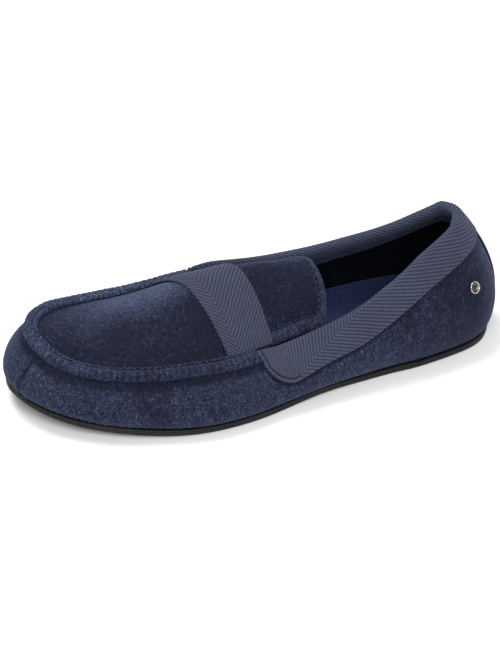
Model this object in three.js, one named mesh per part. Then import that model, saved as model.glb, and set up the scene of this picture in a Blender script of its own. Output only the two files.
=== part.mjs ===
import * as THREE from "three";

// Moccasin slipper for the left foot, in millimetres.
// X runs from the heel to the toe, Y to the outer side of the foot and Z up from the floor.

// Driving sizes of the last and the sole
const LENGTH = 285; // last, from heel to toe
const BALL_WIDTH = 108; // sole, across the ball
const HEEL_HEIGHT = 70; // topline of the quarters at the back of the heel
const INSTEP_HEIGHT = 59; // crest of the apron over the instep
const TOE_SPRING = 10; // rise of the sole at the toe
const ARCH_RISE = 1.2; // rise of the sole under the arch
const BELLY = 4; // swell of the wall past the edge of the sole
const LEAN = 20; // how far the top edge of the wall leans in
const SOLE_THICKNESS = 4;
const SOLE_ROUNDING = 1.4; // round of the tread edge
const SOLE_LIP = 0.8; // how far the sole stands out from the foot of the wall
const INSOLE_THICKNESS = 10;
const INSOLE_ROUNDING = 1.6;
const INSOLE_CLEARANCE = 0.5;
const WALL = 2.6; // outer cloth, foam and lining together
const APRON_THICKNESS = 3;
const GAP = 0.3; // between pieces that touch

// Driving sizes of the trim
const SEAM_WIDTH = 7; // moccasin seam, across the roll
const SEAM_OVERHANG = 2; // how far the roll hangs over the vamp
const SEAM_HEIGHT = 3.6; // roll above the edge of the vamp
const TAPE_THICKNESS = 1.3;
const TAPE_GAP = 0.45; // between the tape and the cloth under it
const BAND_WIDTH = 31; // instep band, heel to toe
const BAND_FRONT = 186; // front edge of the band from the heel, on the spine
const BAND_SKEW = 1; // the band's inner end lies this far ahead and its outer end behind
const BINDING_FRONT = 166; // front ends of the collar binding from the heel, on the average
const BINDING_SKEW = 5; // its inner end lies this far ahead and its outer end behind
const BINDING_DEPTH = 16; // outer leg of the binding
const BINDING_TURN = 7; // inner leg of the binding
const BINDING_CORNER = 14; // length of the round at its front lower corner
const BINDING_NOSE = 6; // depth of its front edge
const TONGUE_END = 111; // back end of the tongue from the heel
const TONGUE_ROUND = 20; // length of its rounded end
const TONGUE_SKEW = 4; // its rounded end starts this far back on the outer side and ahead on the inner
const TONGUE_CLEARANCE = 5.4; // tongue edge in from the topline
const HEEL_STRIP_WIDTH = 17;
const HEEL_STRIP_THICKNESS = 1;
const RIVET_RADIUS = 3.8;
const RIVET_HEIGHT = 1.5;
const RIVET_BACK = 28.5; // rivet centre from the back of the sole
const RIVET_ABOVE = 40; // rivet centre above the floor

// Sections of the wall, round the shoe from the back of the heel by the outer side.
// along: share of LENGTH. across: share of half the BALL_WIDTH. belly: share of BELLY.
// lean: share of LEAN. top: share of HEEL_HEIGHT.
const WALL_SECTIONS = [
  { place: "heel back", along: 0.01, across: 0, belly: 1.2, lean: 1.04, top: 1 },
  { place: "outer heel corner", along: 0.03, across: 0.32, belly: 1.4, lean: 1.05, top: 0.995 },
  { place: "outer heel side", along: 0.085, across: 0.58, belly: 1.5, lean: 1.01, top: 0.97 },
  { place: "outer rear waist", along: 0.2, across: 0.71, belly: 1.5, lean: 0.7, top: 0.845 },
  { place: "outer waist", along: 0.29, across: 0.735, belly: 1.6, lean: 0.42, top: 0.685 },
  { place: "outer front waist", along: 0.37, across: 0.775, belly: 1.6, lean: 0.4, top: 0.54 },
  { place: "outer arch", along: 0.49, across: 0.89, belly: 1.4, lean: 0.64, top: 0.425 },
  { place: "outer ball", along: 0.6, across: 1.01, belly: 1.1, lean: 0.64, top: 0.43 },
  { place: "outer joint", along: 0.71, across: 1.02, belly: 1.1, lean: 0.6, top: 0.455 },
  { place: "outer fore", along: 0.815, across: 0.88, belly: 1, lean: 0.6, top: 0.44 },
  { place: "outer toe corner", along: 0.908, across: 0.645, belly: 1, lean: 0.7, top: 0.43 },
  { place: "outer toe", along: 0.97, across: 0.32, belly: 1, lean: 0.66, top: 0.47 },
  { place: "toe tip", along: 0.9975, across: -0.09, belly: 0.9, lean: 0.6, top: 0.545 },
  { place: "inner toe", along: 0.975, across: -0.44, belly: 0.8, lean: 0.5, top: 0.575 },
  { place: "inner toe corner", along: 0.913, across: -0.73, belly: 0.9, lean: 0.45, top: 0.55 },
  { place: "inner fore", along: 0.825, across: -0.92, belly: 1, lean: 0.62, top: 0.51 },
  { place: "inner joint", along: 0.7275, across: -0.965, belly: 1, lean: 0.74, top: 0.51 },
  { place: "inner ball", along: 0.624, across: -0.9, belly: 1, lean: 0.65, top: 0.55 },
  { place: "inner arch", along: 0.495, across: -0.71, belly: 1, lean: 0.5, top: 0.64 },
  { place: "inner front waist", along: 0.37, across: -0.6, belly: 1, lean: 0.38, top: 0.675 },
  { place: "inner waist", along: 0.29, across: -0.61, belly: 1, lean: 0.48, top: 0.71 },
  { place: "inner rear waist", along: 0.2, across: -0.635, belly: 0.9, lean: 0.75, top: 0.79 },
  { place: "inner heel side", along: 0.085, across: -0.58, belly: 0.9, lean: 0.94, top: 0.955 },
  { place: "inner heel corner", along: 0.03, across: -0.34, belly: 1, lean: 0.98, top: 0.99 },
];
const ROWS = WALL_SECTIONS.length;
const TOE_ROW = ROWS / 2;

// Crest of the apron and tongue. along: share of LENGTH. crest: share of INSTEP_HEIGHT.
const CREST_SECTIONS = [
  { along: 0.98, crest: 0.56 },
  { along: 0.89, crest: 0.64 },
  { along: 0.78, crest: 0.75 },
  { along: 0.67, crest: 0.89 },
  { along: 0.58, crest: 0.98 },
  { along: 0.5, crest: 1 },
  { along: 0.43, crest: 0.975 },
  { along: 0.37, crest: 0.93 },
];

// Shape constants without a size of their own
const SPRING_START = 0.62; // share of LENGTH where the toe spring begins
const SPRING_POWER = 2.2;
const ARCH_START = 0.33; // shares of LENGTH where the arch begins and ends
const ARCH_END = 0.54;
const SHOULDER = 0.48; // share of the lean that the wall has reached below its top edge
const CROWN_POWER = 1.8; // how square the apron's cross-section is
const CREST_SHIFT = 0.1; // crest off the middle, to the inner side, as a share of half the BALL_WIDTH
const APRON_NOSE = 0.1; // share of LENGTH between the apron's front and its spine
const TONGUE_SQUARENESS = 2.8;
const TINY = 1e-3;

// Resolution
const RING_STEPS = 96;
const WALL_STEPS = 8;
const APRON_STEPS = 7;

const up = new THREE.Vector3(0, 0, 1);
const clamp = THREE.MathUtils.clamp;
const lerp = THREE.MathUtils.lerp;

function curveThrough(a, b, c, d, f) {
  return b + 0.5 * f * (c - a + f * (2 * a - 5 * b + 4 * c - d + f * (3 * (b - c) + d - a)));
}

// A column of the wall's table at place t, counted in rows round the shoe
function column(t, name) {
  const row = Math.floor(t);
  const value = (k) => WALL_SECTIONS[(((row + k) % ROWS) + ROWS) % ROWS][name];
  return curveThrough(value(-1), value(0), value(1), value(2), t - row);
}

// Height of the tread above the floor
function treadHeight(x) {
  const share = x / LENGTH;
  const spring = clamp((share - SPRING_START) / (1 - SPRING_START), 0, 1.1) ** SPRING_POWER;
  const arch = clamp((share - ARCH_START) / (ARCH_END - ARCH_START), 0, 1);
  return TOE_SPRING * spring + ARCH_RISE * Math.sin(Math.PI * arch) ** 2;
}

// The foot of the wall and the direction out of the shoe there
function featherLine(t) {
  const at = (s) => [column(s, "along") * LENGTH, (column(s, "across") * BALL_WIDTH) / 2];
  const [x, y] = at(t);
  const [xa, ya] = at(t - TINY);
  const [xb, yb] = at(t + TINY);
  const out = new THREE.Vector3(ya - yb, xb - xa, 0).normalize();
  return { x, y, out };
}

function bezier(a, b, c, d, v) {
  const w = 1 - v;
  return w * w * w * a + 3 * w * w * v * b + 3 * w * v * v * c + v * v * v * d;
}

// Outer face of the wall: v is 0 at the sole and 1 at the top edge
function wallFace(t, v) {
  const { x, y, out } = featherLine(t);
  const low = treadHeight(x) + SOLE_THICKNESS + GAP;
  const high = column(t, "top") * HEEL_HEIGHT;
  const belly = column(t, "belly") * BELLY;
  const lean = column(t, "lean") * LEAN;
  const push = bezier(0, 1.9 * belly, 1.2 * belly - SHOULDER * lean, -lean, v);
  const z = bezier(low, lerp(low, high, 0.3), lerp(low, high, 0.7), high, v);
  return new THREE.Vector3(x + out.x * push, y + out.y * push, z);
}

function normalOf(surface, a, b) {
  const da = surface(a + TINY, b).sub(surface(a - TINY, b));
  const db = surface(a, b + TINY).sub(surface(a, b - TINY));
  return da.cross(db).normalize();
}

// A point of the wall, moved out along its normal
function wallPoint(t, v, outset = 0) {
  const normal = normalOf(wallFace, t, v).negate();
  return wallFace(t, v).addScaledVector(normal, outset);
}

// v at a depth below the top edge, measured down the wall
function wallDepth(t, depth) {
  const steps = 16;
  let last = wallFace(t, 1);
  let gone = 0;
  for (let k = 1; k <= steps; k++) {
    const next = wallFace(t, 1 - k / steps);
    const length = next.distanceTo(last);
    if (gone + length >= depth) return 1 - (k - 1 + (depth - gone) / length) / steps;
    gone += length;
    last = next;
  }
  return 0;
}

// A point on a face set into the wall, at a height above the foot of the wall
function risePoint(t, rise, inset) {
  const foot = wallFace(t, 0).z;
  let [low, high] = [0, 1];
  for (let k = 0; k < 24; k++) {
    const middle = (low + high) / 2;
    if (wallPoint(t, middle, -inset).z < foot + rise) low = middle;
    else high = middle;
  }
  const point = wallPoint(t, low, -inset);
  point.z = foot + rise;
  return point;
}

// A point beside the top edge: in towards the foot and up
function rimPoint(t, inward, rise) {
  const { out } = featherLine(t);
  return wallFace(t, 1).addScaledVector(out, -inward).addScaledVector(up, rise);
}

// side is 1 for the outer side of the shoe and -1 for the inner side; s counts rows back from the toe
const ringPlace = (side, s) => TOE_ROW - side * s;

// Rows back from the toe where the top edge lies at x
function rowsAt(side, x) {
  let [low, high] = [0, TOE_ROW];
  for (let k = 0; k < 30; k++) {
    const middle = (low + high) / 2;
    if (wallFace(ringPlace(side, middle), 1).x > x) low = middle;
    else high = middle;
  }
  return low;
}

// The apron's edge in from the top edge of the wall: narrower where the binding wraps the topline
const APRON_EDGE = WALL + 2 * GAP;
const bindingFront = (side) => BINDING_FRONT - side * BINDING_SKEW;
function apronInset(side, x) {
  const share = clamp((bindingFront(side) - x) / (2.5 * SEAM_WIDTH) + 1, 0, 1);
  return lerp(APRON_EDGE, TONGUE_CLEARANCE, share * share * (3 - 2 * share));
}

const SPINE_FRONT = wallFace(TOE_ROW, 1).x - APRON_NOSE * LENGTH;
const SPINE_BACK = TONGUE_END + TONGUE_ROUND;
const lastRows = (side) => rowsAt(side, SPINE_BACK - side * TONGUE_SKEW);
const LAST_ROWS = { 1: lastRows(1), [-1]: lastRows(-1) };
const FRONT_STATION = stationAt(SPINE_FRONT);

function crestHeight(x) {
  const share = x / LENGTH;
  const rows = CREST_SECTIONS;
  let i = 0;
  while (i < rows.length - 2 && share < rows[i + 1].along) i++;
  const f = (rows[i].along - share) / (rows[i].along - rows[i + 1].along);
  const value = (k) => rows[clamp(i + k, 0, rows.length - 1)].crest;
  return curveThrough(value(-1), value(0), value(1), value(2), f) * INSTEP_HEIGHT;
}

// A place along the apron is e: 0 at the toe, 1 where the tongue's rounded end begins and 2 at the
// middle of that end. Its edge on one side, ahead of the rounded end:
function apronEdge(side, e) {
  const t = ringPlace(side, e * LAST_ROWS[side]);
  return rimPoint(t, apronInset(side, wallFace(t, 1).x), 0);
}

function edgeMiddle(e) {
  return apronEdge(1, e).lerp(apronEdge(-1, e), 0.5);
}

// The place e whose middle lies at x
function stationAt(x) {
  let [low, high] = [0, 1];
  for (let k = 0; k < 30; k++) {
    const middle = (low + high) / 2;
    if (edgeMiddle(middle).x > x) low = middle;
    else high = middle;
  }
  return low;
}

// The apron's centre line, near the middle between its two edges and as high as the crest
function spine(e) {
  const middle = edgeMiddle(clamp(e, FRONT_STATION, 1));
  middle.y -= (CREST_SHIFT * BALL_WIDTH) / 2;
  middle.z = crestHeight(middle.x);
  return middle;
}

function spineNormal(e) {
  const { x } = spine(e);
  return new THREE.Vector3(crestHeight(x - 1) - crestHeight(x + 1), 0, 2).normalize();
}

function tongueEdge(side, e) {
  const corner = apronEdge(side, 1);
  const centre = spine(1);
  const angle = ((e - 1) * Math.PI) / 2;
  const across = Math.cos(angle) ** (2 / TONGUE_SQUARENESS);
  const back = Math.sin(angle) ** (2 / TONGUE_SQUARENESS);
  const edge = centre.clone().lerp(corner, across);
  edge.x -= TONGUE_ROUND * back;
  edge.z = lerp(centre.z, corner.z, across ** CROWN_POWER);
  edge.z += (crestHeight(TONGUE_END) - centre.z) * back;
  return edge;
}

// Top face of the apron: q is 0 at its edge and 1 on its centre line
function apronFace(side, e, q) {
  const edge = e <= 1 ? apronEdge(side, e) : tongueEdge(side, e);
  const centre = spine(e);
  const point = edge.clone().lerp(centre, q);
  point.z = lerp(edge.z, centre.z, 1 - (1 - q) ** CROWN_POWER);
  return point;
}

function apronPoint(side, e, q, outset = 0) {
  if (q === 1) return spine(e).addScaledVector(spineNormal(e), outset);
  const face = (a, b) => apronFace(side, a, b);
  const normal = normalOf(face, clamp(e, 0.02, 1.98), clamp(q, 0.01, 0.99));
  if (normal.z < 0) normal.negate();
  return apronFace(side, e, q).addScaledVector(normal, outset);
}

// Share q at a distance in from the edge of the apron
function apronShare(side, e, distance) {
  const edge = apronEdge(side, e);
  const centre = spine(e);
  return distance / Math.hypot(edge.x - centre.x, edge.y - centre.y);
}

// How far in from the apron's edge the seam ends, and the band begins beyond a margin
function trimShare(side, e, margin) {
  const inset = apronInset(side, apronEdge(side, e).x);
  return apronShare(side, e, Math.max(SEAM_WIDTH - SEAM_OVERHANG - inset, GAP) + margin);
}

// A closed mesh from a list of points and quads; points that meet are joined and flat faces dropped
function solidFrom(points, quads) {
  const index = new Map();
  const place = [];
  const joined = points.map((p) => {
    const key = [p.x, p.y, p.z].map((value) => Math.round(value / TINY)).join(",");
    if (!index.has(key)) {
      index.set(key, index.size);
      place.push(p.x, p.y, p.z);
    }
    return index.get(key);
  });
  const faces = [];
  for (const [a, b, c, d] of quads.map((quad) => quad.map((k) => joined[k]))) {
    if (a !== b && b !== c && a !== c) faces.push([a, b, c]);
    if (a !== c && c !== d && a !== d) faces.push([a, c, d]);
  }
  const corner = (k) => new THREE.Vector3().fromArray(place, 3 * k);
  let volume = 0;
  for (const [a, b, c] of faces) volume += corner(a).dot(corner(b).cross(corner(c)));
  const turned = volume < 0 ? faces.map(([a, b, c]) => [a, c, b]) : faces;
  const geometry = new THREE.BufferGeometry();
  geometry.setAttribute("position", new THREE.Float32BufferAttribute(place, 3));
  geometry.setIndex(turned.flat());
  geometry.computeVertexNormals();
  return geometry;
}

// A sheet between two grids of points, grid[u][v]. A closed one joins its last u to its first, and a
// folded one has only the first of its two v edges closed, because the faces meet at the other.
function sheet(front, back, { closed = false, folded = false } = {}) {
  const [us, vs] = [front.length, front[0].length];
  const points = [...front.flat(), ...back.flat()];
  const f = (u, v) => (u % us) * vs + v;
  const b = (u, v) => us * vs + f(u, v);
  const quads = [];
  for (let u = 0; u < (closed ? us : us - 1); u++) {
    for (let v = 0; v < vs - 1; v++) {
      quads.push([f(u, v), f(u + 1, v), f(u + 1, v + 1), f(u, v + 1)]);
      quads.push([b(u, v), b(u, v + 1), b(u + 1, v + 1), b(u + 1, v)]);
    }
    quads.push([f(u, 0), b(u, 0), b(u + 1, 0), f(u + 1, 0)]);
    const last = vs - 1;
    if (!folded) quads.push([f(u, last), f(u + 1, last), b(u + 1, last), b(u, last)]);
  }
  if (!closed) {
    for (let v = 0; v < vs - 1; v++) {
      quads.push([f(0, v), f(0, v + 1), b(0, v + 1), b(0, v)]);
      quads.push([f(us - 1, v), b(us - 1, v), b(us - 1, v + 1), f(us - 1, v + 1)]);
    }
  }
  return solidFrom(points, quads);
}

// A plate from rings of points, from its lower face to its upper face. Each face is closed across
// the shoe, from a point of the outer side to the one opposite.
function plate(rings) {
  const n = rings[0].length;
  const at = (ring, k) => ring * n + (k % n);
  const quads = [];
  for (let ring = 0; ring < rings.length - 1; ring++) {
    for (let k = 0; k < n; k++) {
      quads.push([at(ring, k), at(ring, k + 1), at(ring + 1, k + 1), at(ring + 1, k)]);
    }
  }
  const top = rings.length - 1;
  for (let k = 0; k < n / 2; k++) {
    quads.push([at(0, k), at(0, n - k), at(0, n - k - 1), at(0, k + 1)]);
    quads.push([at(top, k), at(top, k + 1), at(top, n - k - 1), at(top, n - k)]);
  }
  return solidFrom(rings.flat(), quads);
}

const range = (n) => Array.from({ length: n + 1 }, (_, k) => k / n);
const ringPlaces = range(RING_STEPS).slice(0, -1).map((share) => share * ROWS);

// The ring's own places between two others, so that pieces on the wall share its facets
function placesBetween(first, last) {
  const step = ROWS / RING_STEPS;
  const inner = [];
  for (let k = Math.floor(first / step) + 1; k < last / step; k++) {
    const place = k * step;
    if (place - first > 0.3 * step && last - place > 0.3 * step) inner.push(place);
  }
  return [first, ...inner, last];
}

// The same places with one more in the middle of each of the first and last few steps
function withMiddles(places, count) {
  const near = (k) => k < count || k >= places.length - 1 - count;
  return places.flatMap((t, k) => {
    const next = places[k + 1];
    return next !== undefined && near(k) ? [t, (t + next) / 2] : [t];
  });
}

// The outsole: tread face, rounded edge, side and upper face
function outsole() {
  const ring = (outset, rise) =>
    ringPlaces.map((t) => {
      const { x, y, out } = featherLine(t);
      const base = treadHeight(x);
      return new THREE.Vector3(x + out.x * outset, y + out.y * outset, base + rise);
    });
  return plate([
    ring(SOLE_LIP - SOLE_ROUNDING - 1.2, 0),
    ring(SOLE_LIP - SOLE_ROUNDING * 0.35, SOLE_ROUNDING * 0.4),
    ring(SOLE_LIP, SOLE_ROUNDING),
    ring(SOLE_LIP, SOLE_THICKNESS - 0.6),
    ring(SOLE_LIP - 0.6, SOLE_THICKNESS),
  ]);
}

// The insole fills the foot of the wall, with a rounded upper edge
function insole() {
  const ring = (rise, inset) =>
    ringPlaces.map((t) => risePoint(t, rise, WALL + INSOLE_CLEARANCE + inset));
  return plate([
    ring(0, INSOLE_ROUNDING / 2),
    ring(INSOLE_ROUNDING, 0),
    ring(INSOLE_THICKNESS / 2, 0),
    ring(INSOLE_THICKNESS - INSOLE_ROUNDING, 0),
    ring(INSOLE_THICKNESS, INSOLE_ROUNDING),
  ]);
}

// Vamp and quarters: the wall all round
function upper() {
  const face = (outset) => ringPlaces.map((t) => range(WALL_STEPS).map((v) => wallPoint(t, v, outset)));
  const inner = face(-WALL);
  inner.forEach((profile, k) => {
    profile[0].z = wallFace(ringPlaces[k], 0).z;
  });
  return sheet(face(0), inner, { closed: true });
}

// Apron and tongue in one, crowned over the toes and instep
function apron() {
  const places = [];
  const front = range(28).map((share) => share ** 1.2);
  const round = range(7).slice(1).map((share) => 1 + share);
  for (const e of [...front, ...round]) places.push([1, e]);
  for (const e of [...front, ...round].slice(1, -1).reverse()) places.push([-1, e]);
  const face = (outset) =>
    places.map(([side, e]) => range(APRON_STEPS).map((q) => apronPoint(side, e, q, outset)));
  return sheet(face(0), face(-APRON_THICKNESS), { closed: true, folded: true });
}

// The raised roll that joins vamp and apron, hanging a little over the vamp
function moccasinSeam() {
  const inward = SEAM_WIDTH - SEAM_OVERHANG;
  const ends = [1, -1].map((side) => ringPlace(side, rowsAt(side, bindingFront(side) + GAP)));
  const [under, over] = [[], []];
  for (const t of placesBetween(ends[0], ends[1])) {
    const side = t < TOE_ROW ? 1 : -1;
    const low = wallDepth(t, SEAM_OVERHANG + 0.6);
    const e = Math.abs(TOE_ROW - t) / LAST_ROWS[side];
    const q = trimShare(side, e, 0);
    under.push([
      wallPoint(t, low, GAP),
      wallPoint(t, 1, GAP + 0.1),
      rimPoint(t, APRON_EDGE / 2, 2.5 * GAP),
      rimPoint(t, APRON_EDGE, 2.5 * GAP),
      apronPoint(side, e, q, 1.5 * GAP),
    ]);
    over.push([
      wallPoint(t, low, GAP + 1.5),
      wallPoint(t, 1, 2.6),
      rimPoint(t, 0.6, SEAM_HEIGHT),
      rimPoint(t, inward - 2, SEAM_HEIGHT),
      apronPoint(side, e, q, 2.2),
    ]);
  }
  return sheet(over, under);
}

// The band across the instep, from one seam to the other
function instepBand() {
  const grid = (outset) =>
    range(6).map((u) =>
      range(24).map((w) => {
        const across = 2 * w - 1;
        const e = stationAt(BAND_FRONT - BAND_WIDTH * u - BAND_SKEW * across);
        const side = across < 0 ? -1 : 1;
        const start = trimShare(side, e, 2 * GAP);
        return apronPoint(side, e, lerp(1, start, Math.abs(across)), outset);
      }),
    );
  return sheet(grid(TAPE_GAP + TAPE_THICKNESS), grid(TAPE_GAP));
}

// Depth of the binding's outer leg: round at its front lower corner
function bindingDepth(t) {
  const side = t > 0 ? 1 : -1;
  const back = clamp((bindingFront(side) - wallFace(t, 1).x) / BINDING_CORNER, 0, 1);
  const round = Math.sqrt(1 - (1 - back) ** 2);
  return lerp(BINDING_NOSE, BINDING_DEPTH, round);
}

// Herringbone tape folded over the topline
function collarBinding() {
  const legSteps = 4;
  const turnSteps = 4;
  const line = (t, thickness) => {
    const middle = wallPoint(t, 1, -WALL / 2);
    const out = wallPoint(t, 1, 1).sub(wallPoint(t, 1, 0));
    const along = wallPoint(t, 1).sub(wallPoint(t, 1 - TINY)).normalize();
    const radius = WALL / 2 + TAPE_GAP + thickness;
    const leg = (depth, outset) => wallPoint(t, wallDepth(t, depth), outset);
    const outer = range(legSteps).slice(0, -1);
    const outerLeg = outer.map((share) => leg(bindingDepth(t) * (1 - share), TAPE_GAP + thickness));
    const fold = range(turnSteps).map((share) => {
      const angle = share * Math.PI;
      return middle
        .clone()
        .addScaledVector(out, radius * Math.cos(angle))
        .addScaledVector(along, radius * Math.sin(angle));
    });
    const inner = leg(BINDING_TURN, -(WALL + 2 * TAPE_GAP + thickness));
    return [...outerLeg, ...fold, inner];
  };
  const ends = [-1, 1].map((side) => side * (TOE_ROW - rowsAt(side, bindingFront(side))));
  const places = withMiddles(placesBetween(ends[0], ends[1]), 3);
  return sheet(
    places.map((t) => line(t, TAPE_THICKNESS)),
    places.map((t) => line(t, 0)),
  );
}

// Dark strip up the back of the heel, from the sole to the binding
function heelStrip() {
  const half = HEEL_STRIP_WIDTH / 2 / wallFace(1, 0.3).distanceTo(wallFace(0, 0.3));
  const grid = (outset) =>
    placesBetween(-half, half).map((t) => {
      const high = wallDepth(t, BINDING_DEPTH + GAP);
      const lower = range(WALL_STEPS).filter((v) => v < high - 0.5 / WALL_STEPS);
      return [...lower, high].map((v) => wallPoint(t, v, outset));
    });
  return sheet(grid(GAP + HEEL_STRIP_THICKNESS), grid(GAP));
}

// Round rivet with a raised rim and a low dome, set square to the wall
function rivetGeometry() {
  const profile = [
    [0, 0],
    [RIVET_RADIUS, 0],
    [RIVET_RADIUS, RIVET_HEIGHT * 0.55],
    [RIVET_RADIUS - 0.35, RIVET_HEIGHT],
    [RIVET_RADIUS - 1.1, RIVET_HEIGHT],
    [RIVET_RADIUS - 1.5, RIVET_HEIGHT * 0.5],
    [RIVET_RADIUS * 0.35, RIVET_HEIGHT * 0.75],
    [0, RIVET_HEIGHT * 0.8],
  ].map(([radius, height]) => new THREE.Vector2(radius, height));
  return new THREE.LatheGeometry(profile, 16);
}

const materials = {
  velour: new THREE.MeshStandardMaterial({ color: 0x2a3358, roughness: 0.95, metalness: 0 }),
  tape: new THREE.MeshStandardMaterial({ color: 0x3b415c, roughness: 0.85, metalness: 0 }),
  rubber: new THREE.MeshStandardMaterial({ color: 0x23252a, roughness: 0.7, metalness: 0 }),
  footbed: new THREE.MeshStandardMaterial({ color: 0x1c2850, roughness: 0.95, metalness: 0 }),
  metal: new THREE.MeshStandardMaterial({ color: 0x9a9890, roughness: 0.3, metalness: 1 }),
};

function piece(name, geometry, material) {
  const mesh = new THREE.Mesh(geometry, material);
  mesh.name = name;
  return mesh;
}

function heelRivet() {
  const rivet = piece("heel_rivet", rivetGeometry(), materials.metal);
  const onWall = (t) => {
    let [low, high] = [0, 1];
    for (let k = 0; k < 24; k++) {
      const middle = (low + high) / 2;
      if (wallFace(t, middle).z < RIVET_ABOVE) low = middle;
      else high = middle;
    }
    return low;
  };
  let [t, step] = [0, 1];
  while (step > TINY) {
    if (wallFace(t + step, onWall(t + step)).x < RIVET_BACK) t += step;
    else step /= 2;
  }
  const v = onWall(t);
  rivet.position.copy(wallPoint(t, v, GAP));
  const normal = wallPoint(t, v, 1).sub(wallPoint(t, v, 0));
  rivet.quaternion.setFromUnitVectors(new THREE.Vector3(0, 1, 0), normal);
  return rivet;
}

// The pieces, centred over the origin, with the tread on the floor
const slipper = new THREE.Group();
slipper.add(
  piece("outsole", outsole(), materials.rubber),
  piece("insole", insole(), materials.footbed),
  piece("upper", upper(), materials.velour),
  piece("apron", apron(), materials.velour),
  piece("moccasin_seam", moccasinSeam(), materials.velour),
  piece("instep_band", instepBand(), materials.tape),
  piece("collar_binding", collarBinding(), materials.tape),
  piece("heel_strip", heelStrip(), materials.rubber),
  heelRivet(),
);
const box = new THREE.Box3().setFromObject(slipper);
const centre = box.getCenter(new THREE.Vector3());
slipper.position.set(-centre.x, -centre.y, -box.min.z);

const model = new THREE.Group();
model.add(slipper);

export default model;
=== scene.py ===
import math

import bmesh
import bpy
import numpy as np
from mathutils import Matrix, Vector


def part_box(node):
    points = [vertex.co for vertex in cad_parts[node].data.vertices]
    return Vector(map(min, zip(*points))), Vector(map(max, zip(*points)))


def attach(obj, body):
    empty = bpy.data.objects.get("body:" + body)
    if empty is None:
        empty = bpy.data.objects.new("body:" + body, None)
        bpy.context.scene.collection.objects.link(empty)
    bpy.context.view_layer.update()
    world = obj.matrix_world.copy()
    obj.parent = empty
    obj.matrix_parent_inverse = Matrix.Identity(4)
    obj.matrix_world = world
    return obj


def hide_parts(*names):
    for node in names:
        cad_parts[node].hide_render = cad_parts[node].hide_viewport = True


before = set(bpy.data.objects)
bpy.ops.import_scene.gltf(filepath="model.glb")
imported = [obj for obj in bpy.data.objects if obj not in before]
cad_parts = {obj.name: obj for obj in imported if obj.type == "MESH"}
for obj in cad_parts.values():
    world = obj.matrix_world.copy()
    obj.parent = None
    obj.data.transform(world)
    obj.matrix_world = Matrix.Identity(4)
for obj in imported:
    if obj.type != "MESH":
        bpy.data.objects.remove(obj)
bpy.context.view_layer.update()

# Sizes of the last and the sole, in metres. X runs from the heel to the toe, Y to the outer side, Z up.
LENGTH = 0.285
BALL_WIDTH = 0.108
HEEL_HEIGHT = 0.070
INSTEP_HEIGHT = 0.059
TOE_SPRING = 0.010
ARCH_RISE = 0.0012
BELLY = 0.004
LEAN = 0.020
SOLE_THICKNESS = 0.004
SOLE_LIP = 0.0008
INSOLE_THICKNESS = 0.010
INSOLE_CLEARANCE = 0.0005
WALL = 0.0026
SKIN = 0.0013  # velour and its foam, the outer half of the wall
APRON_THICKNESS = 0.003
GAP = 0.0003

# Sizes of the trim
SEAM_WIDTH = 0.007
SEAM_OVERHANG = 0.002
TAPE_THICKNESS = 0.0013
TAPE_GAP = 0.00045
BAND_WIDTH = 0.031
BAND_FRONT = 0.186
BAND_SKEW = 0.001
BINDING_FRONT = 0.166
BINDING_SKEW = 0.005
BINDING_DEPTH = 0.016
BINDING_TURN = 0.007
BINDING_CORNER = 0.014
BINDING_NOSE = 0.006
TONGUE_END = 0.111
TONGUE_ROUND = 0.020
TONGUE_SKEW = 0.004
TONGUE_CLEARANCE = 0.0054
HEEL_STRIP_WIDTH = 0.017
HEEL_STRIP_THICKNESS = 0.001
RIVET_RADIUS = 0.0038
RIVET_HEIGHT = 0.0015
RIVET_BACK = 0.0285
RIVET_ABOVE = 0.040

# Sizes of the fine detail
RIB_PITCH = 0.00182  # herringbone ribs, crest to crest
RIB_DEPTH = 0.00034
RIB_ANGLE = math.radians(42)  # between a rib of the band and its line of vertices
BAND_STRIPE = 0.032  # herringbone, from one line of vertices to the next
BAND_RUN = 0.015  # direction of the band's lines of vertices, off its length, in radians
BINDING_STRIPE = 0.0275
BINDING_RUN = math.radians(147)  # direction of the binding's lines of vertices, unrolled from its side
BINDING_VERTEX = (0.0159, 0.0109)  # a place on the first one: behind the outer front end, above the floor
LINING_PITCH = 0.0018  # ribs of the lining
PIPING = 0.0015  # smooth turned edge at the binding's front corner
TONGUE_RIM = 0.0041  # turned edge round the tongue
FACING = 0.0095  # velour strip inside, below the binding
FACING_LAP = 0.0034  # how much of it lies over the foot of the binding
FACING_SWELL = 0.0023  # how far its soft edge stands out from the lining
INNER_LIFT = 0.0062  # how far the tape stands off the seam at the binding's inner front end
OUTER_LIFT = 0.002  # and at the outer one
OUTER_ROLL = 0.0032  # radius of the raised seam's outer roll
INNER_ROLL = 0.0022  # where the inner roll begins, in from the wall's top edge
INNER_ROLL_HEIGHT = 0.0023
SEAM_GROOVE = 0.0028  # where the stitches lie between the rolls, in from the same edge
STITCH_PITCH = 0.0034  # stitches of the seam and the tongue
TREAD_PITCH = 0.006  # wavy ribs across the tread
TREAD_DEPTH = 0.0007

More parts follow.
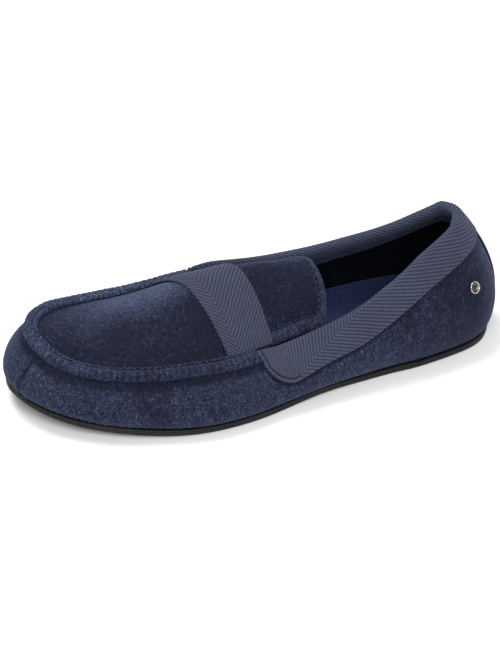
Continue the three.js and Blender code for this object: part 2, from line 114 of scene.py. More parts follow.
# Sections of the wall, round the shoe from the back of the heel by the outer side, as shares of
# LENGTH, half the BALL_WIDTH, BELLY, LEAN and HEEL_HEIGHT
WALL_COLUMNS = ("along", "across", "belly", "lean", "top")
WALL_SECTIONS = (
    (0.01, 0.0, 1.2, 1.04, 1.0),  # heel back
    (0.03, 0.32, 1.4, 1.05, 0.995),  # outer heel corner
    (0.085, 0.58, 1.5, 1.01, 0.97),  # outer heel side
    (0.2, 0.71, 1.5, 0.7, 0.845),  # outer rear waist
    (0.29, 0.735, 1.6, 0.42, 0.685),  # outer waist
    (0.37, 0.775, 1.6, 0.4, 0.54),  # outer front waist
    (0.49, 0.89, 1.4, 0.64, 0.425),  # outer arch
    (0.6, 1.01, 1.1, 0.64, 0.43),  # outer ball
    (0.71, 1.02, 1.1, 0.6, 0.455),  # outer joint
    (0.815, 0.88, 1.0, 0.6, 0.44),  # outer fore
    (0.908, 0.645, 1.0, 0.7, 0.43),  # outer toe corner
    (0.97, 0.32, 1.0, 0.66, 0.47),  # outer toe
    (0.9975, -0.09, 0.9, 0.6, 0.545),  # toe tip
    (0.975, -0.44, 0.8, 0.5, 0.575),  # inner toe
    (0.913, -0.73, 0.9, 0.45, 0.55),  # inner toe corner
    (0.825, -0.92, 1.0, 0.62, 0.51),  # inner fore
    (0.7275, -0.965, 1.0, 0.74, 0.51),  # inner joint
    (0.624, -0.9, 1.0, 0.65, 0.55),  # inner ball
    (0.495, -0.71, 1.0, 0.5, 0.64),  # inner arch
    (0.37, -0.6, 1.0, 0.38, 0.675),  # inner front waist
    (0.29, -0.61, 1.0, 0.48, 0.71),  # inner waist
    (0.2, -0.635, 0.9, 0.75, 0.79),  # inner rear waist
    (0.085, -0.58, 0.9, 0.94, 0.955),  # inner heel side
    (0.03, -0.34, 1.0, 0.98, 0.99),  # inner heel corner
)
SECTIONS = {name: np.array(values) for name, values in zip(WALL_COLUMNS, zip(*WALL_SECTIONS))}
ROWS = len(WALL_SECTIONS)
TOE_ROW = ROWS / 2

# Crest of the apron and tongue, as shares of LENGTH and INSTEP_HEIGHT
CREST_SECTIONS = (
    (0.98, 0.56),
    (0.89, 0.64),
    (0.78, 0.75),
    (0.67, 0.89),
    (0.58, 0.98),
    (0.5, 1.0),
    (0.43, 0.975),
    (0.37, 0.93),
)
CREST_ALONG, CREST_HEIGHT = (np.array(values) for values in zip(*CREST_SECTIONS))

# Shape constants without a size of their own
SPRING_START = 0.62
SPRING_POWER = 2.2
ARCH_START = 0.33
ARCH_END = 0.54
SHOULDER = 0.48
CROWN_POWER = 1.8
CREST_SHIFT = 0.1
APRON_NOSE = 0.1
TONGUE_SQUARENESS = 2.8
TINY = 1e-3
UP = np.array((0.0, 0.0, 1.0))


def mix(a, b, share):
    return a + (b - a) * share


def smooth(share):
    share = np.clip(share, 0, 1)
    return share * share * (3 - 2 * share)


def hump(distance, width):
    """1 at no distance, and soon 0 past the width."""
    return np.exp(-((distance / width) ** 2))


def rounded(share):
    """Height of a quarter round, from 0 at its foot to 1."""
    return np.sqrt(1 - (1 - np.clip(share, 0, 1)) ** 2)


def unit(vectors):
    return vectors / np.linalg.norm(vectors, axis=-1, keepdims=True)


def lengths_along(points):
    steps = np.linalg.norm(np.diff(points, axis=0), axis=1)
    return np.concatenate([[0], np.cumsum(steps)])


def curve_through(a, b, c, d, f):
    return b + 0.5 * f * (c - a + f * (2 * a - 5 * b + 4 * c - d + f * (3 * (b - c) + d - a)))


def column(t, name):
    """A column of the wall's table at place t, counted in rows round the shoe."""
    row = np.floor(t).astype(int)
    a, b, c, d = (SECTIONS[name][(row + k) % ROWS] for k in (-1, 0, 1, 2))
    return curve_through(a, b, c, d, t - row)


def tread_height(x):
    share = x / LENGTH
    spring = np.clip((share - SPRING_START) / (1 - SPRING_START), 0, 1.1) ** SPRING_POWER
    arch = np.clip((share - ARCH_START) / (ARCH_END - ARCH_START), 0, 1)
    return TOE_SPRING * spring + ARCH_RISE * np.sin(np.pi * arch) ** 2


def feather_line(t):
    """The foot of the wall and the direction out of the shoe there."""
    def at(s):
        return np.stack([column(s, "along") * LENGTH, column(s, "across") * BALL_WIDTH / 2], axis=-1)

    ahead = at(t + TINY) - at(t - TINY)
    out = unit(np.stack([-ahead[..., 1], ahead[..., 0], np.zeros_like(t)], axis=-1))
    return at(t), out


def bezier(a, b, c, d, v):
    w = 1 - v
    return w**3 * a + 3 * w * w * v * b + 3 * w * v * v * c + v**3 * d


def wall_face(t, v):
    """Outer face of the wall: v is 0 at the sole and 1 at the top edge."""
    t, v = np.broadcast_arrays(np.asarray(t, float), np.asarray(v, float))
    foot, out = feather_line(t)
    low = tread_height(foot[..., 0]) + SOLE_THICKNESS + GAP
    high = column(t, "top") * HEEL_HEIGHT
    belly = column(t, "belly") * BELLY
    lean = column(t, "lean") * LEAN
    push = bezier(0, 1.9 * belly, 1.2 * belly - SHOULDER * lean, -lean, v)
    z = bezier(low, mix(low, high, 0.3), mix(low, high, 0.7), high, v)
    return np.concatenate([foot, z[..., None]], axis=-1) + out * push[..., None]


def normal_of(surface, a, b):
    across_a = surface(a + TINY, b) - surface(a - TINY, b)
    across_b = surface(a, b + TINY) - surface(a, b - TINY)
    return unit(np.cross(across_a, across_b))


def wall_normal(t, v):
    return -normal_of(wall_face, np.asarray(t, float), np.asarray(v, float))


def wall_point(t, v, outset=0.0):
    t, v, outset = np.broadcast_arrays(t, v, outset)
    return wall_face(t, v) + wall_normal(t, v) * outset[..., None]


def wall_depth(t, depth):
    """v at depths below the top edge, measured down the wall; a row of depths for each place."""
    down = np.linspace(1, 0, 65)
    lines = wall_face(t[:, None], down)
    steps = np.linalg.norm(np.diff(lines, axis=1), axis=2)
    gone = np.concatenate([np.zeros((len(t), 1)), np.cumsum(steps, axis=1)], axis=1)
    return np.stack([np.interp(row, line, down) for row, line in zip(depth, gone)])


def wall_height(t, z, inset=0.0, halvings=24):
    """v where a face set into the wall has height z."""
    low, high = np.zeros_like(t), np.ones_like(t)
    for _ in range(halvings):
        middle = (low + high) / 2
        under = wall_point(t, middle, -inset)[..., 2] < z
        low, high = np.where(under, middle, low), np.where(under, high, middle)
    return low


def rise_point(t, rise, inset):
    """A point on a face set into the wall, at a height above the foot of the wall."""
    z = wall_face(t, np.zeros_like(t))[..., 2] + rise
    point = wall_point(t, wall_height(t, z, inset, 20), -inset)
    point[..., 2] = z
    return point


def rim_point(t, inward, rise):
    """A point beside the top edge: in towards the foot and up."""
    _, out = feather_line(np.asarray(t, float))
    t, inward, rise = np.broadcast_arrays(t, inward, rise)
    return wall_face(t, 1.0) - out * inward[..., None] + UP * rise[..., None]


# side is 1 for the outer side of the shoe and -1 for the inner side; s counts rows back from the toe
def ring_place(side, s):
    return TOE_ROW - side * s


BACK_ROWS = np.linspace(0, TOE_ROW, 4000)
EDGE_X = {side: wall_face(ring_place(side, BACK_ROWS), 1.0)[:, 0] for side in (1, -1)}


def rows_at(side, x):
    """Rows back from the toe where the top edge lies at x."""
    return np.interp(-x, -EDGE_X[side], BACK_ROWS)


APRON_EDGE = WALL + 2 * GAP


def binding_front(side):
    return BINDING_FRONT - side * BINDING_SKEW


def apron_inset(side, x):
    return mix(APRON_EDGE, TONGUE_CLEARANCE, smooth((binding_front(side) - x) / (2.5 * SEAM_WIDTH) + 1))


SPINE_FRONT = EDGE_X[1][0] - APRON_NOSE * LENGTH
SPINE_BACK = TONGUE_END + TONGUE_ROUND
LAST_ROWS = {side: float(rows_at(side, SPINE_BACK - side * TONGUE_SKEW)) for side in (1, -1)}


def crest_height(x):
    share = np.asarray(x) / LENGTH
    last = len(CREST_ALONG) - 1
    i = np.sum(share[..., None] < CREST_ALONG[1:last], axis=-1)
    f = (CREST_ALONG[i] - share) / (CREST_ALONG[i] - CREST_ALONG[i + 1])
    a, b, c, d = (CREST_HEIGHT[np.clip(i + k, 0, last)] for k in (-1, 0, 1, 2))
    return curve_through(a, b, c, d, f) * INSTEP_HEIGHT


def apron_edge(side, e):
    """The apron's edge at place e: 0 at the toe and 1 where the tongue's rounded end begins."""
    t = ring_place(side, e * LAST_ROWS[side])
    return rim_point(t, apron_inset(side, wall_face(t, 1.0)[..., 0]), 0.0)


def edge_middle(e):
    return mix(apron_edge(1, e), apron_edge(-1, e), 0.5)


STATIONS = np.linspace(0, 1, 3000)
STATION_X = edge_middle(STATIONS)[:, 0]


def station_at(x):
    return np.interp(-x, -STATION_X, STATIONS)


FRONT_STATION = float(station_at(SPINE_FRONT))


def spine(e):
    """The apron's centre line, as high as the crest."""
    middle = edge_middle(np.clip(e, FRONT_STATION, 1)).copy()
    middle[..., 1] -= CREST_SHIFT * BALL_WIDTH / 2
    middle[..., 2] = crest_height(middle[..., 0])
    return middle


def spine_normal(e):
    x = spine(e)[..., 0]
    step = 0.001
    slope = (crest_height(x - step) - crest_height(x + step)) / (2 * step)
    return unit(np.stack([slope, np.zeros_like(x), np.ones_like(x)], axis=-1))


def tongue_edge(side, e):
    corner = apron_edge(side, np.ones_like(e))
    centre = spine(np.ones_like(e))
    angle = np.clip(e - 1, 0, 1) * np.pi / 2
    across = np.cos(angle).clip(0) ** (2 / TONGUE_SQUARENESS)
    back = np.sin(angle).clip(0) ** (2 / TONGUE_SQUARENESS)
    edge = mix(centre, corner, across[..., None])
    edge[..., 0] -= TONGUE_ROUND * back
    edge[..., 2] = mix(centre[..., 2], corner[..., 2], across**CROWN_POWER)
    edge[..., 2] += (crest_height(TONGUE_END) - centre[..., 2]) * back
    return edge


def apron_face(side, e, q):
    """Top face of the apron: q is 0 at its edge and 1 on its centre line."""
    e, q = np.broadcast_arrays(np.asarray(e, float), np.asarray(q, float))
    ahead = (e <= 1)[..., None]
    edge = np.where(ahead, apron_edge(side, np.minimum(e, 1)), tongue_edge(side, np.maximum(e, 1)))
    centre = spine(e)
    point = mix(edge, centre, q[..., None])
    point[..., 2] = mix(edge[..., 2], centre[..., 2], 1 - (1 - q).clip(0) ** CROWN_POWER)
    return point


def apron_normal(side, e, q):
    e_inside, q_inside = np.clip(e, 0.02, 1.98), np.clip(q, 0.01, 0.99)
    normal = normal_of(lambda a, b: apron_face(side, a, b), e_inside, q_inside)
    normal = np.where(normal[..., 2:] < 0, -normal, normal)
    near = smooth((q - 0.9) / 0.1)[..., None]
    return unit(mix(normal, spine_normal(e), near))


def apron_point(side, e, q, outset=0.0):
    e, q, outset = np.broadcast_arrays(e, q, outset)
    return apron_face(side, e, q) + apron_normal(side, e, q) * outset[..., None]


def trim_share(side, e, margin):
    """How far in from the apron's edge the seam ends, and the band begins beyond a margin."""
    edge = apron_edge(side, e)
    inset = apron_inset(side, edge[..., 0])
    distance = np.maximum(SEAM_WIDTH - SEAM_OVERHANG - inset, GAP) + margin
    return distance / np.linalg.norm((edge - spine(e))[..., :2], axis=-1)


# The frame's origin lies under the middle of the shoe, and the sections start at the heel
RING = np.arange(96) / 96 * ROWS
FOOT, FOOT_OUT = feather_line(RING)
SOLE_LOW = (FOOT + FOOT_OUT[:, :2] * SOLE_LIP).min(axis=0)
SHIFT = np.array((*(np.array(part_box("outsole")[0])[:2] - SOLE_LOW), 0.0))


def quads_over(stations, points, ring, loop):
    """Quads over a grid of stations and points. A ring joins the last station to the first, and a
    loop joins the last point to the first."""
    grid = np.arange(stations * points).reshape(stations, points)
    if ring:
        grid = np.concatenate([grid, grid[:1]], axis=0)
    if loop:
        grid = np.concatenate([grid, grid[:, :1]], axis=1)
    return np.stack([grid[:-1, :-1], grid[1:, :-1], grid[1:, 1:], grid[:-1, 1:]], axis=-1).reshape(-1, 4)


def welded(points, faces):
    """Points that meet are joined, and faces drop the corners that this takes from them."""
    _, first, place = np.unique(np.round(points / 2e-7), axis=0, return_index=True, return_inverse=True)
    kept = []
    for face in place.reshape(-1)[faces].tolist():
        corners = [k for i, k in enumerate(face) if k != face[i - 1]]
        if len(corners) > 2:
            kept.append(corners)
    return points[first], kept, first


def piece(name, grid, material, stands_for, ring=False, loop=False, pattern=None, nap_and_light=None):
    """A piece of the slipper from a grid of points in heel coordinates. pattern holds two numbers
    a point, ribs and painted shade; the last argument one, the pile's lie with painted light and shade."""
    stations, count = grid.shape[:2]
    faces = quads_over(stations, count, ring, loop)
    points, faces, first = welded(grid.reshape(-1, 3), faces)
    if loop and not ring:
        faces = closed_ends(faces)
    mesh = bpy.data.meshes.new(name)
    mesh.from_pydata((points + SHIFT).tolist(), [], faces)
    if pattern is not None:
        corners = np.zeros(len(mesh.loops), int)
        mesh.loops.foreach_get("vertex_index", corners)
        layer = mesh.uv_layers.new(name="weave")
        layer.data.foreach_set("uv", pattern.reshape(-1, 2)[first][corners].ravel())
    if nap_and_light is not None:
        values = mesh.attributes.new("nap_and_light", "FLOAT", "POINT")
        values.data.foreach_set("value", nap_and_light.reshape(-1)[first])
    return dressed(name, mesh, material, stands_for)


def closed_ends(faces):
    """Adds the two end faces of a tube: each is one loop of the edges that have a single face."""
    following = {}
    edges = {(face[i - 1], face[i]) for face in faces for i in range(len(face))}
    for a, b in edges:
        if (b, a) not in edges:
            following[b] = a
    caps = []
    while following:
        start, corner = next(iter(following.items()))
        cap = [start]
        while corner != start:
            cap.append(corner)
            corner = following.pop(corner)
        following.pop(start, None)
        caps.append(cap)
    return faces + caps


def dressed(name, mesh, material, stands_for):
    """Makes the object of a mesh, with its faces turned out, its material and its place in the frame."""
    shape = bmesh.new()
    shape.from_mesh(mesh)
    bmesh.ops.recalc_face_normals(shape, faces=shape.faces)
    shape.to_mesh(mesh)
    shape.free()
    mesh.polygons.foreach_set("use_smooth", [True] * len(mesh.polygons))
    mesh.materials.append(material)
    made = bpy.data.objects.new(name, mesh)
    bpy.context.scene.collection.objects.link(made)
    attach(made, "root")
    if stands_for:
        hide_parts(stands_for)
    return made


def stitches(name, path, outward, pitch, length, radius, material):
    """A row of threads along a path, joined in one mesh. Each one arches a little off the cloth."""
    gone = lengths_along(path)
    starts = np.arange(pitch / 2, gone[-1] - pitch / 2, pitch)
    steps, sides = 7, 6
    along = np.linspace(-0.5, 0.5, steps)
    places = starts[:, None] + along * length
    centre = np.stack([np.interp(places, gone, path[:, k]) for k in range(3)], axis=-1)
    lift = np.stack([np.interp(places, gone, outward[:, k]) for k in range(3)], axis=-1)
    lift = unit(lift)
    ahead = unit(np.gradient(centre, axis=1))
    side = unit(np.cross(lift, ahead))
    arch = np.cos(np.pi * along) ** 0.5
    thick = radius * (0.35 + 0.65 * np.cos(np.pi * along) ** 0.5)
    turn = np.arange(sides) / sides * 2 * np.pi
    centre = centre + lift * (radius * (1.2 * arch - 0.6))[None, :, None]
    ringed = side[..., None, :] * np.cos(turn)[:, None] + lift[..., None, :] * np.sin(turn)[:, None]
    points = centre[..., None, :] + ringed * thick[None, :, None, None]
    size = steps * sides
    tube = quads_over(steps, sides, False, True)
    ends = [range(sides), range(size - sides, size)]
    faces = []
    for first in range(0, len(starts) * size, size):
        faces += (tube + first).tolist()
        faces += [[first + corner for corner in end] for end in ends]
    mesh = bpy.data.meshes.new(name)
    mesh.from_pydata((points.reshape(-1, 3) + SHIFT).tolist(), [], faces)
    return dressed(name, mesh, material, None)


# Herringbone
def warp_and_weft(along, across, turn, start):
    """Distances from start along a line of vertices and square to it. turn is the line's direction."""
    a, b = along - start[0], across - start[1]
    return a * math.cos(turn) + b * math.sin(turn), b * math.cos(turn) - a * math.sin(turn)


def band_ribs(along, across, start):
    """Rib count at places of the band. The ribs leave the lines of vertices at one angle."""
    warp, weft = warp_and_weft(along, across, BAND_RUN, start)
    fold = np.abs((weft / BAND_STRIPE + 1) % 2 - 1) * BAND_STRIPE
    return (warp * math.sin(RIB_ANGLE) - fold * math.cos(RIB_ANGLE)) / RIB_PITCH


def binding_ribs(t, place, across):
    """Rib count at places of the binding. On the outer side the cloth lies as if unrolled flat, so that
    its lines of vertices run straight and leave the binding. On the inner side the ribs follow it."""
    edge = wall_face(t, 1.0)
    plan = lengths_along(edge[:, :2])
    start = (plan[-1] - BINDING_VERTEX[0], BINDING_VERTEX[1])
    warp, weft = warp_and_weft(plan[:, None], edge[:, 2:] + across, BINDING_RUN, start)
    # Ribs in a millimetre: along the lines of vertices, square to them in a flat and in a steep stripe,
    # and along and across the tape on the inner side
    ribs_along, flat, steep = 0.37, 0.37, 0.5
    inner_along, inner_across = 0.35, 0.52
    knots = np.array((-1, 0, 1, 9)) * BINDING_STRIPE
    slide = np.interp(weft, knots, np.array((steep, 0, flat, flat - 8 * steep)) * BINDING_STRIPE)
    outer = (ribs_along * warp - slide) * 1000
    heel = int(np.argmin(np.abs(t)))
    inner = (inner_across * across - inner_along * (place - place[heel])[:, None]) * 1000
    return np.where(t[:, None] > 0, outer, inner)


def rib(phase):
    return np.abs(np.cos(np.pi * phase)) ** 0.8


# Materials
def feed(tree, socket, value):
    """Links a node's output to a socket, or sets the socket's own value."""
    if isinstance(value, bpy.types.NodeSocket):
        tree.links.new(value, socket)
    else:
        socket.default_value = value


def node(tree, kind, inputs=None, **settings):
    made = tree.nodes.new(kind)
    for name, value in settings.items():
        setattr(made, name, value)
    for name, value in (inputs or {}).items():
        feed(tree, made.inputs[name], value)
    return made


def ramp(tree, factor, stops):
    made = node(tree, "ShaderNodeValToRGB", {"Fac": factor})
    made.color_ramp.elements[0].position, made.color_ramp.elements[0].color = stops[0]
    made.color_ramp.elements[1].position, made.color_ramp.elements[1].color = stops[-1]
    for position, colour in stops[1:-1]:
        made.color_ramp.elements.new(position).color = colour
    return made.outputs["Color"]


def grey(value):
    return (value, value, value, 1.0)


def blend_colours(tree, factor, a, b):
    made = node(tree, "ShaderNodeMix", data_type="RGBA")
    for name, kind, value in (("Factor", "VALUE", factor), ("A", "RGBA", a), ("B", "RGBA", b)):
        feed(tree, next(s for s in made.inputs if s.name == name and s.type == kind), value)
    return next(s for s in made.outputs if s.type == "RGBA")


def calculate(tree, operation, *values):
    return node(tree, "ShaderNodeMath", dict(enumerate(values)), operation=operation).outputs[0]


def grain(tree, density, detail):
    """Noise fixed to the object, with a density in waves a metre."""
    place = node(tree, "ShaderNodeTexCoord").outputs["Object"]
    inputs = {"Vector": place, "Scale": density, "Detail": detail}
    return node(tree, "ShaderNodeTexNoise", inputs).outputs["Fac"]


def new_group(name, inputs, outputs):
    group = bpy.data.node_groups.new(name, "ShaderNodeTree")
    for socket, kind, value in inputs:
        made = group.interface.new_socket(socket, in_out="INPUT", socket_type=kind)
        made.default_value = value
    for socket, kind in outputs:
        group.interface.new_socket(socket, in_out="OUTPUT", socket_type=kind)
    return group, group.nodes.new("NodeGroupInput"), group.nodes.new("NodeGroupOutput")


def heather_group():
    """Short fibres of mixed colours: puts out their colour and their height. On the velour the lie brings
    painted light and shade.
    """
    group, given, out = new_group(
        "heathered pile",
        [
            ("Deep", "NodeSocketColor", (0.01, 0.014, 0.05, 1)),
            ("Body", "NodeSocketColor", (0.02, 0.03, 0.1, 1)),
            ("Tip", "NodeSocketColor", (0.1, 0.13, 0.3, 1)),
            ("Scale", "NodeSocketFloat", 1.0),
            ("Lie", "NodeSocketFloat", 0.5),
        ],
        [("Colour", "NodeSocketColor"), ("Height", "NodeSocketFloat")],
    )
    place = node(group, "ShaderNodeTexCoord").outputs["Object"]
    hanging = {0: place, 1: (1, 1, 0.5)}  # the fibres lie down the wall
    place = node(group, "ShaderNodeVectorMath", hanging, operation="MULTIPLY").outputs[0]
    scale = given.outputs["Scale"]

    def noise(size, detail, roughness=0.6):
        density = calculate(group, "DIVIDE", 1 / size, scale)
        inputs = {"Vector": place, "Scale": density, "Detail": detail, "Roughness": roughness}
        return node(group, "ShaderNodeTexNoise", inputs).outputs["Fac"]

    fibres = noise(0.0008, 3.0, 0.8)
    tufts = noise(0.0024, 2.0)
    swirls = noise(0.03, 2.0)
    speck = ramp(group, fibres, [(0.4, grey(0)), (0.52, grey(0.28)), (0.64, grey(1))])
    patch = ramp(group, tufts, [(0.36, grey(0)), (0.64, grey(1))])
    broad = ramp(group, swirls, [(0.3, grey(0)), (0.7, grey(1))])
    lie = calculate(group, "MULTIPLY_ADD", patch, 0.3, given.outputs["Lie"])
    lie = calculate(group, "MULTIPLY_ADD", broad, 0.26, lie)
    lie = calculate(group, "SUBTRACT", lie, 0.3)
    lie = node(group, "ShaderNodeClamp", {"Value": lie}).outputs[0]
    body = blend_colours(group, lie, given.outputs["Deep"], given.outputs["Body"])
    glint = calculate(group, "MULTIPLY", speck, calculate(group, "MULTIPLY_ADD", lie, 0.66, 0.08))
    colour = blend_colours(group, glint, body, given.outputs["Tip"])
    height = calculate(group, "MULTIPLY_ADD", patch, 0.5, fibres)
    group.links.new(colour, out.inputs["Colour"])
    group.links.new(height, out.inputs["Height"])
    return group


HEATHER = heather_group()

# Colours of the fibres, as the deep, the body and the tip of the pile, and painted shade in the rib
# grooves
NAVY = ((0.0015, 0.0025, 0.0095), (0.0066, 0.0097, 0.027), (0.128, 0.154, 0.255))
BRIGHT_NAVY = ((0.0035, 0.006, 0.026), (0.0105, 0.0165, 0.062), (0.045, 0.066, 0.19))
SLATE_YARN = ((0.018, 0.022, 0.045), (0.034, 0.042, 0.077), (0.092, 0.11, 0.175))
SLATE_GROOVE_SHADE = (0.013, 0.0165, 0.033, 1)
BLACK_YARN = ((0.001, 0.0015, 0.004), (0.002, 0.003, 0.008), (0.006, 0.008, 0.018))
BLACK_GROOVE_SHADE = (0.001, 0.001, 0.003, 1)
BLUE_SHEEN = (0.38, 0.48, 0.95)
PALE_SHEEN = (0.6, 0.65, 0.9)


def new_material(name, values):
    """A material with one shader, which takes these values on its own sockets."""
    material = bpy.data.materials.new(name)
    material.use_nodes = True
    tree = material.node_tree
    tree.nodes.clear()
    shader = node(tree, "ShaderNodeBsdfPrincipled", values)
    node(tree, "ShaderNodeOutputMaterial", {"Surface": shader.outputs["BSDF"]})
    return material, tree, shader


def bumped(tree, shader, height, distance, strength):
    bump = node(tree, "ShaderNodeBump", {"Height": height, "Distance": distance, "Strength": strength})
    feed(tree, shader.inputs["Normal"], bump.outputs["Normal"])


def coloured(tree, shader, colour):
    feed(tree, shader.inputs["Base Color"], colour)


def sheen(weight, roughness, tint):
    return {"Sheen Weight": weight, "Sheen Roughness": roughness, "Sheen Tint": (*tint, 1)}


def pile(tree, colours, scale, lie):
    made = node(tree, "ShaderNodeGroup", node_tree=HEATHER)
    for name, colour in zip(("Deep", "Body", "Tip"), colours):
        made.inputs[name].default_value = (*colour, 1)
    made.inputs["Scale"].default_value = scale
    feed(tree, made.inputs["Lie"], lie)
    return made


def rib_wave(tree):
    """Height of the ribs, 0 in a groove and 1 on a crest, and the pattern's two numbers: ribs and painted
    shade.
    """
    place = node(tree, "ShaderNodeUVMap", uv_map="weave").outputs["UV"]
    parts = node(tree, "ShaderNodeSeparateXYZ", {"Vector": place})
    turn = calculate(tree, "MULTIPLY", parts.outputs["X"], math.pi)
    return calculate(tree, "ABSOLUTE", calculate(tree, "COSINE", turn)), parts


def velour(name, colours, sheen_weight):
    values = {"Roughness": 0.95, "Specular IOR Level": 0.15}
    material, tree, shader = new_material(name, values | sheen(sheen_weight, 0.45, BLUE_SHEEN))
    nap_and_light = node(tree, "ShaderNodeAttribute", attribute_name="nap_and_light").outputs["Fac"]
    made = pile(tree, colours, 1.0, nap_and_light)
    coloured(tree, shader, made.outputs["Colour"])
    bumped(tree, shader, made.outputs["Height"], 0.0005, 0.7)
    return material


def herringbone_tape():
    values = {"Roughness": 0.8, "Specular IOR Level": 0.3}
    material, tree, shader = new_material("herringbone tape", values | sheen(0.08, 0.5, PALE_SHEEN))
    wave, parts = rib_wave(tree)
    # The pattern's second number adds the binding's painted shade; the grooves between ribs take a
    # painted shade
    wave = calculate(tree, "ADD", wave, parts.outputs["Y"])
    raised = ramp(tree, wave, [(0.22, grey(0)), (0.68, grey(0.5)), (1.0, grey(1))])
    yarn = pile(tree, SLATE_YARN, 0.8, 0.55)
    coloured(tree, shader, blend_colours(tree, raised, SLATE_GROOVE_SHADE, yarn.outputs["Colour"]))
    height = calculate(tree, "MULTIPLY_ADD", yarn.outputs["Height"], 0.25, wave)
    bumped(tree, shader, height, 0.0003, 0.8)
    return material


def ribbed_lining():
    material, tree, shader = new_material("ribbed lining", {"Roughness": 0.9, "Specular IOR Level": 0.08})
    wave, _ = rib_wave(tree)
    yarn = pile(tree, BLACK_YARN, 1.0, 0.5)
    # painted shade in the grooves between the ribs
    coloured(tree, shader, blend_colours(tree, wave, BLACK_GROOVE_SHADE, yarn.outputs["Colour"]))
    bumped(tree, shader, wave, 0.0003, 0.8)
    return material


def sole_rubber():
    material, tree, shader = new_material("charcoal rubber", {"Specular IOR Level": 0.25})
    fine = grain(tree, 900, 3)
    shades = [(0.35, (0.003, 0.003, 0.004, 1)), (0.65, (0.007, 0.007, 0.008, 1))]
    coloured(tree, shader, ramp(tree, grain(tree, 60, 2), shades))
    feed(tree, shader.inputs["Roughness"], ramp(tree, fine, [(0.3, grey(0.45)), (0.7, grey(0.65))]))
    bumped(tree, shader, fine, 0.00015, 0.5)
    return material


def thread(name, colour):
    material, tree, shader = new_material(name, {"Roughness": 0.75})
    twist = grain(tree, 1500, 2)
    dark = tuple(0.5 * value for value in colour)
    coloured(tree, shader, ramp(tree, twist, [(0.35, (*dark, 1)), (0.65, (*colour, 1))]))
    bumped(tree, shader, twist, 0.0002, 0.6)
    return material


def steel(name, dull, bright):
    material, tree, shader = new_material(name, {"Metallic": 1.0})
    scuff = grain(tree, 2500, 2)
    coloured(tree, shader, ramp(tree, scuff, [(0.3, (*dull, 1)), (0.7, (*bright, 1))]))
    feed(tree, shader.inputs["Roughness"], ramp(tree, scuff, [(0.35, grey(0.2)), (0.7, grey(0.28))]))
    return material


VELOUR = velour("navy velour", NAVY, 0.11)
FOOTBED = velour("bright navy velour", BRIGHT_NAVY, 0.15)
TAPE = herringbone_tape()
LINING = ribbed_lining()
RUBBER = sole_rubber()
STEEL = steel("polished steel", (0.34, 0.33, 0.31), (0.46, 0.45, 0.42))
DARK_STEEL = steel("darkened steel", (0.07, 0.055, 0.045), (0.1, 0.08, 0.065))
NAVY_THREAD = thread("navy thread", (0.03, 0.036, 0.08))
SOLE_THREAD = thread("charcoal thread", (0.02, 0.02, 0.022))

# Soft swells and troughs of the cloth: x and y as shares of LENGTH, then height and reach in metres
VAMP_FOLDS = (
    (0.93, 0.12, -0.0007, 0.011),
    (0.87, 0.15, 0.0006, 0.014),
    (0.78, 0.19, -0.0006, 0.016),
    (0.66, 0.2, 0.0006, 0.02),
    (0.54, 0.18, -0.0007, 0.014),
    (0.42, 0.16, 0.0005, 0.02),
    (0.3, 0.145, -0.0005, 0.018),
    (0.16, 0.13, 0.0006, 0.018),
    (0.06, 0.08, -0.0004, 0.014),
    (0.95, -0.1, 0.0006, 0.012),
    (0.84, -0.16, -0.0006, 0.016),
    (0.7, -0.18, 0.0006, 0.018),
    (0.52, -0.14, -0.0007, 0.016),
    (0.36, -0.115, 0.0006, 0.018),
    (0.18, -0.11, -0.0005, 0.016),
)
APRON_FOLDS = (
    (0.86, 0.03, 0.0007, 0.018),
    (0.8, -0.06, -0.0008, 0.02),
    (0.75, 0.07, -0.0007, 0.018),
    (0.69, 0.0, 0.0008, 0.016),
    (0.67, 0.1, 0.0006, 0.012),
    (0.47, 0.03, 0.0006, 0.014),
    (0.44, -0.05, -0.0006, 0.014),
)

FOOTBED_SEATS = (
    (0.13, 0.0, -0.0012, 0.03),
    (0.66, 0.02, -0.0011, 0.04),
    (0.9, 0.0, -0.0006, 0.03),
    (0.42, 0.06, 0.0006, 0.03),
)

# Where the pile lies flat and dark or stands up, partly its own lie and partly painted light and shade:
# x and y as shares of LENGTH, then the change of the pile's lie and its reach in metres
NAP_AND_LIGHT_SPOTS = (
    (0.67, 0.06, -0.3, 0.022),
    (0.79, 0.06, -0.45, 0.036),
    # painted highlight where the light grazes the crest's far side
    (0.71, -0.078, 1.5, 0.027),
    (0.86, -0.02, 0.15, 0.025),
    (0.5, 0.04, -0.35, 0.024),
    (0.46, -0.06, 0.3, 0.02),
    # painted shade over the heel
    (0.12, 0.14, -0.5, 0.04),
    (0.27, 0.16, -0.04, 0.04),
    (0.6, 0.2, -0.12, 0.045),
    (0.82, 0.19, 0.06, 0.04),
)


def soft_sum(points, spots):
    total = np.zeros(points.shape[:-1])
    for x, y, amount, reach in spots:
        away = (points[..., 0] - x * LENGTH) ** 2 + (points[..., 1] - y * LENGTH) ** 2
        total += amount * np.exp(-away / reach**2)
    return total


def pile_lie_and_light(points, base=0.5):
    return np.clip(base + soft_sum(points, NAP_AND_LIGHT_SPOTS), 0, 1)


# Pieces
def centre_line(ring):
    """The middle between each point of a ring and the one across the shoe from it."""
    return (ring + np.roll(ring[::-1], 1, axis=0)) / 2


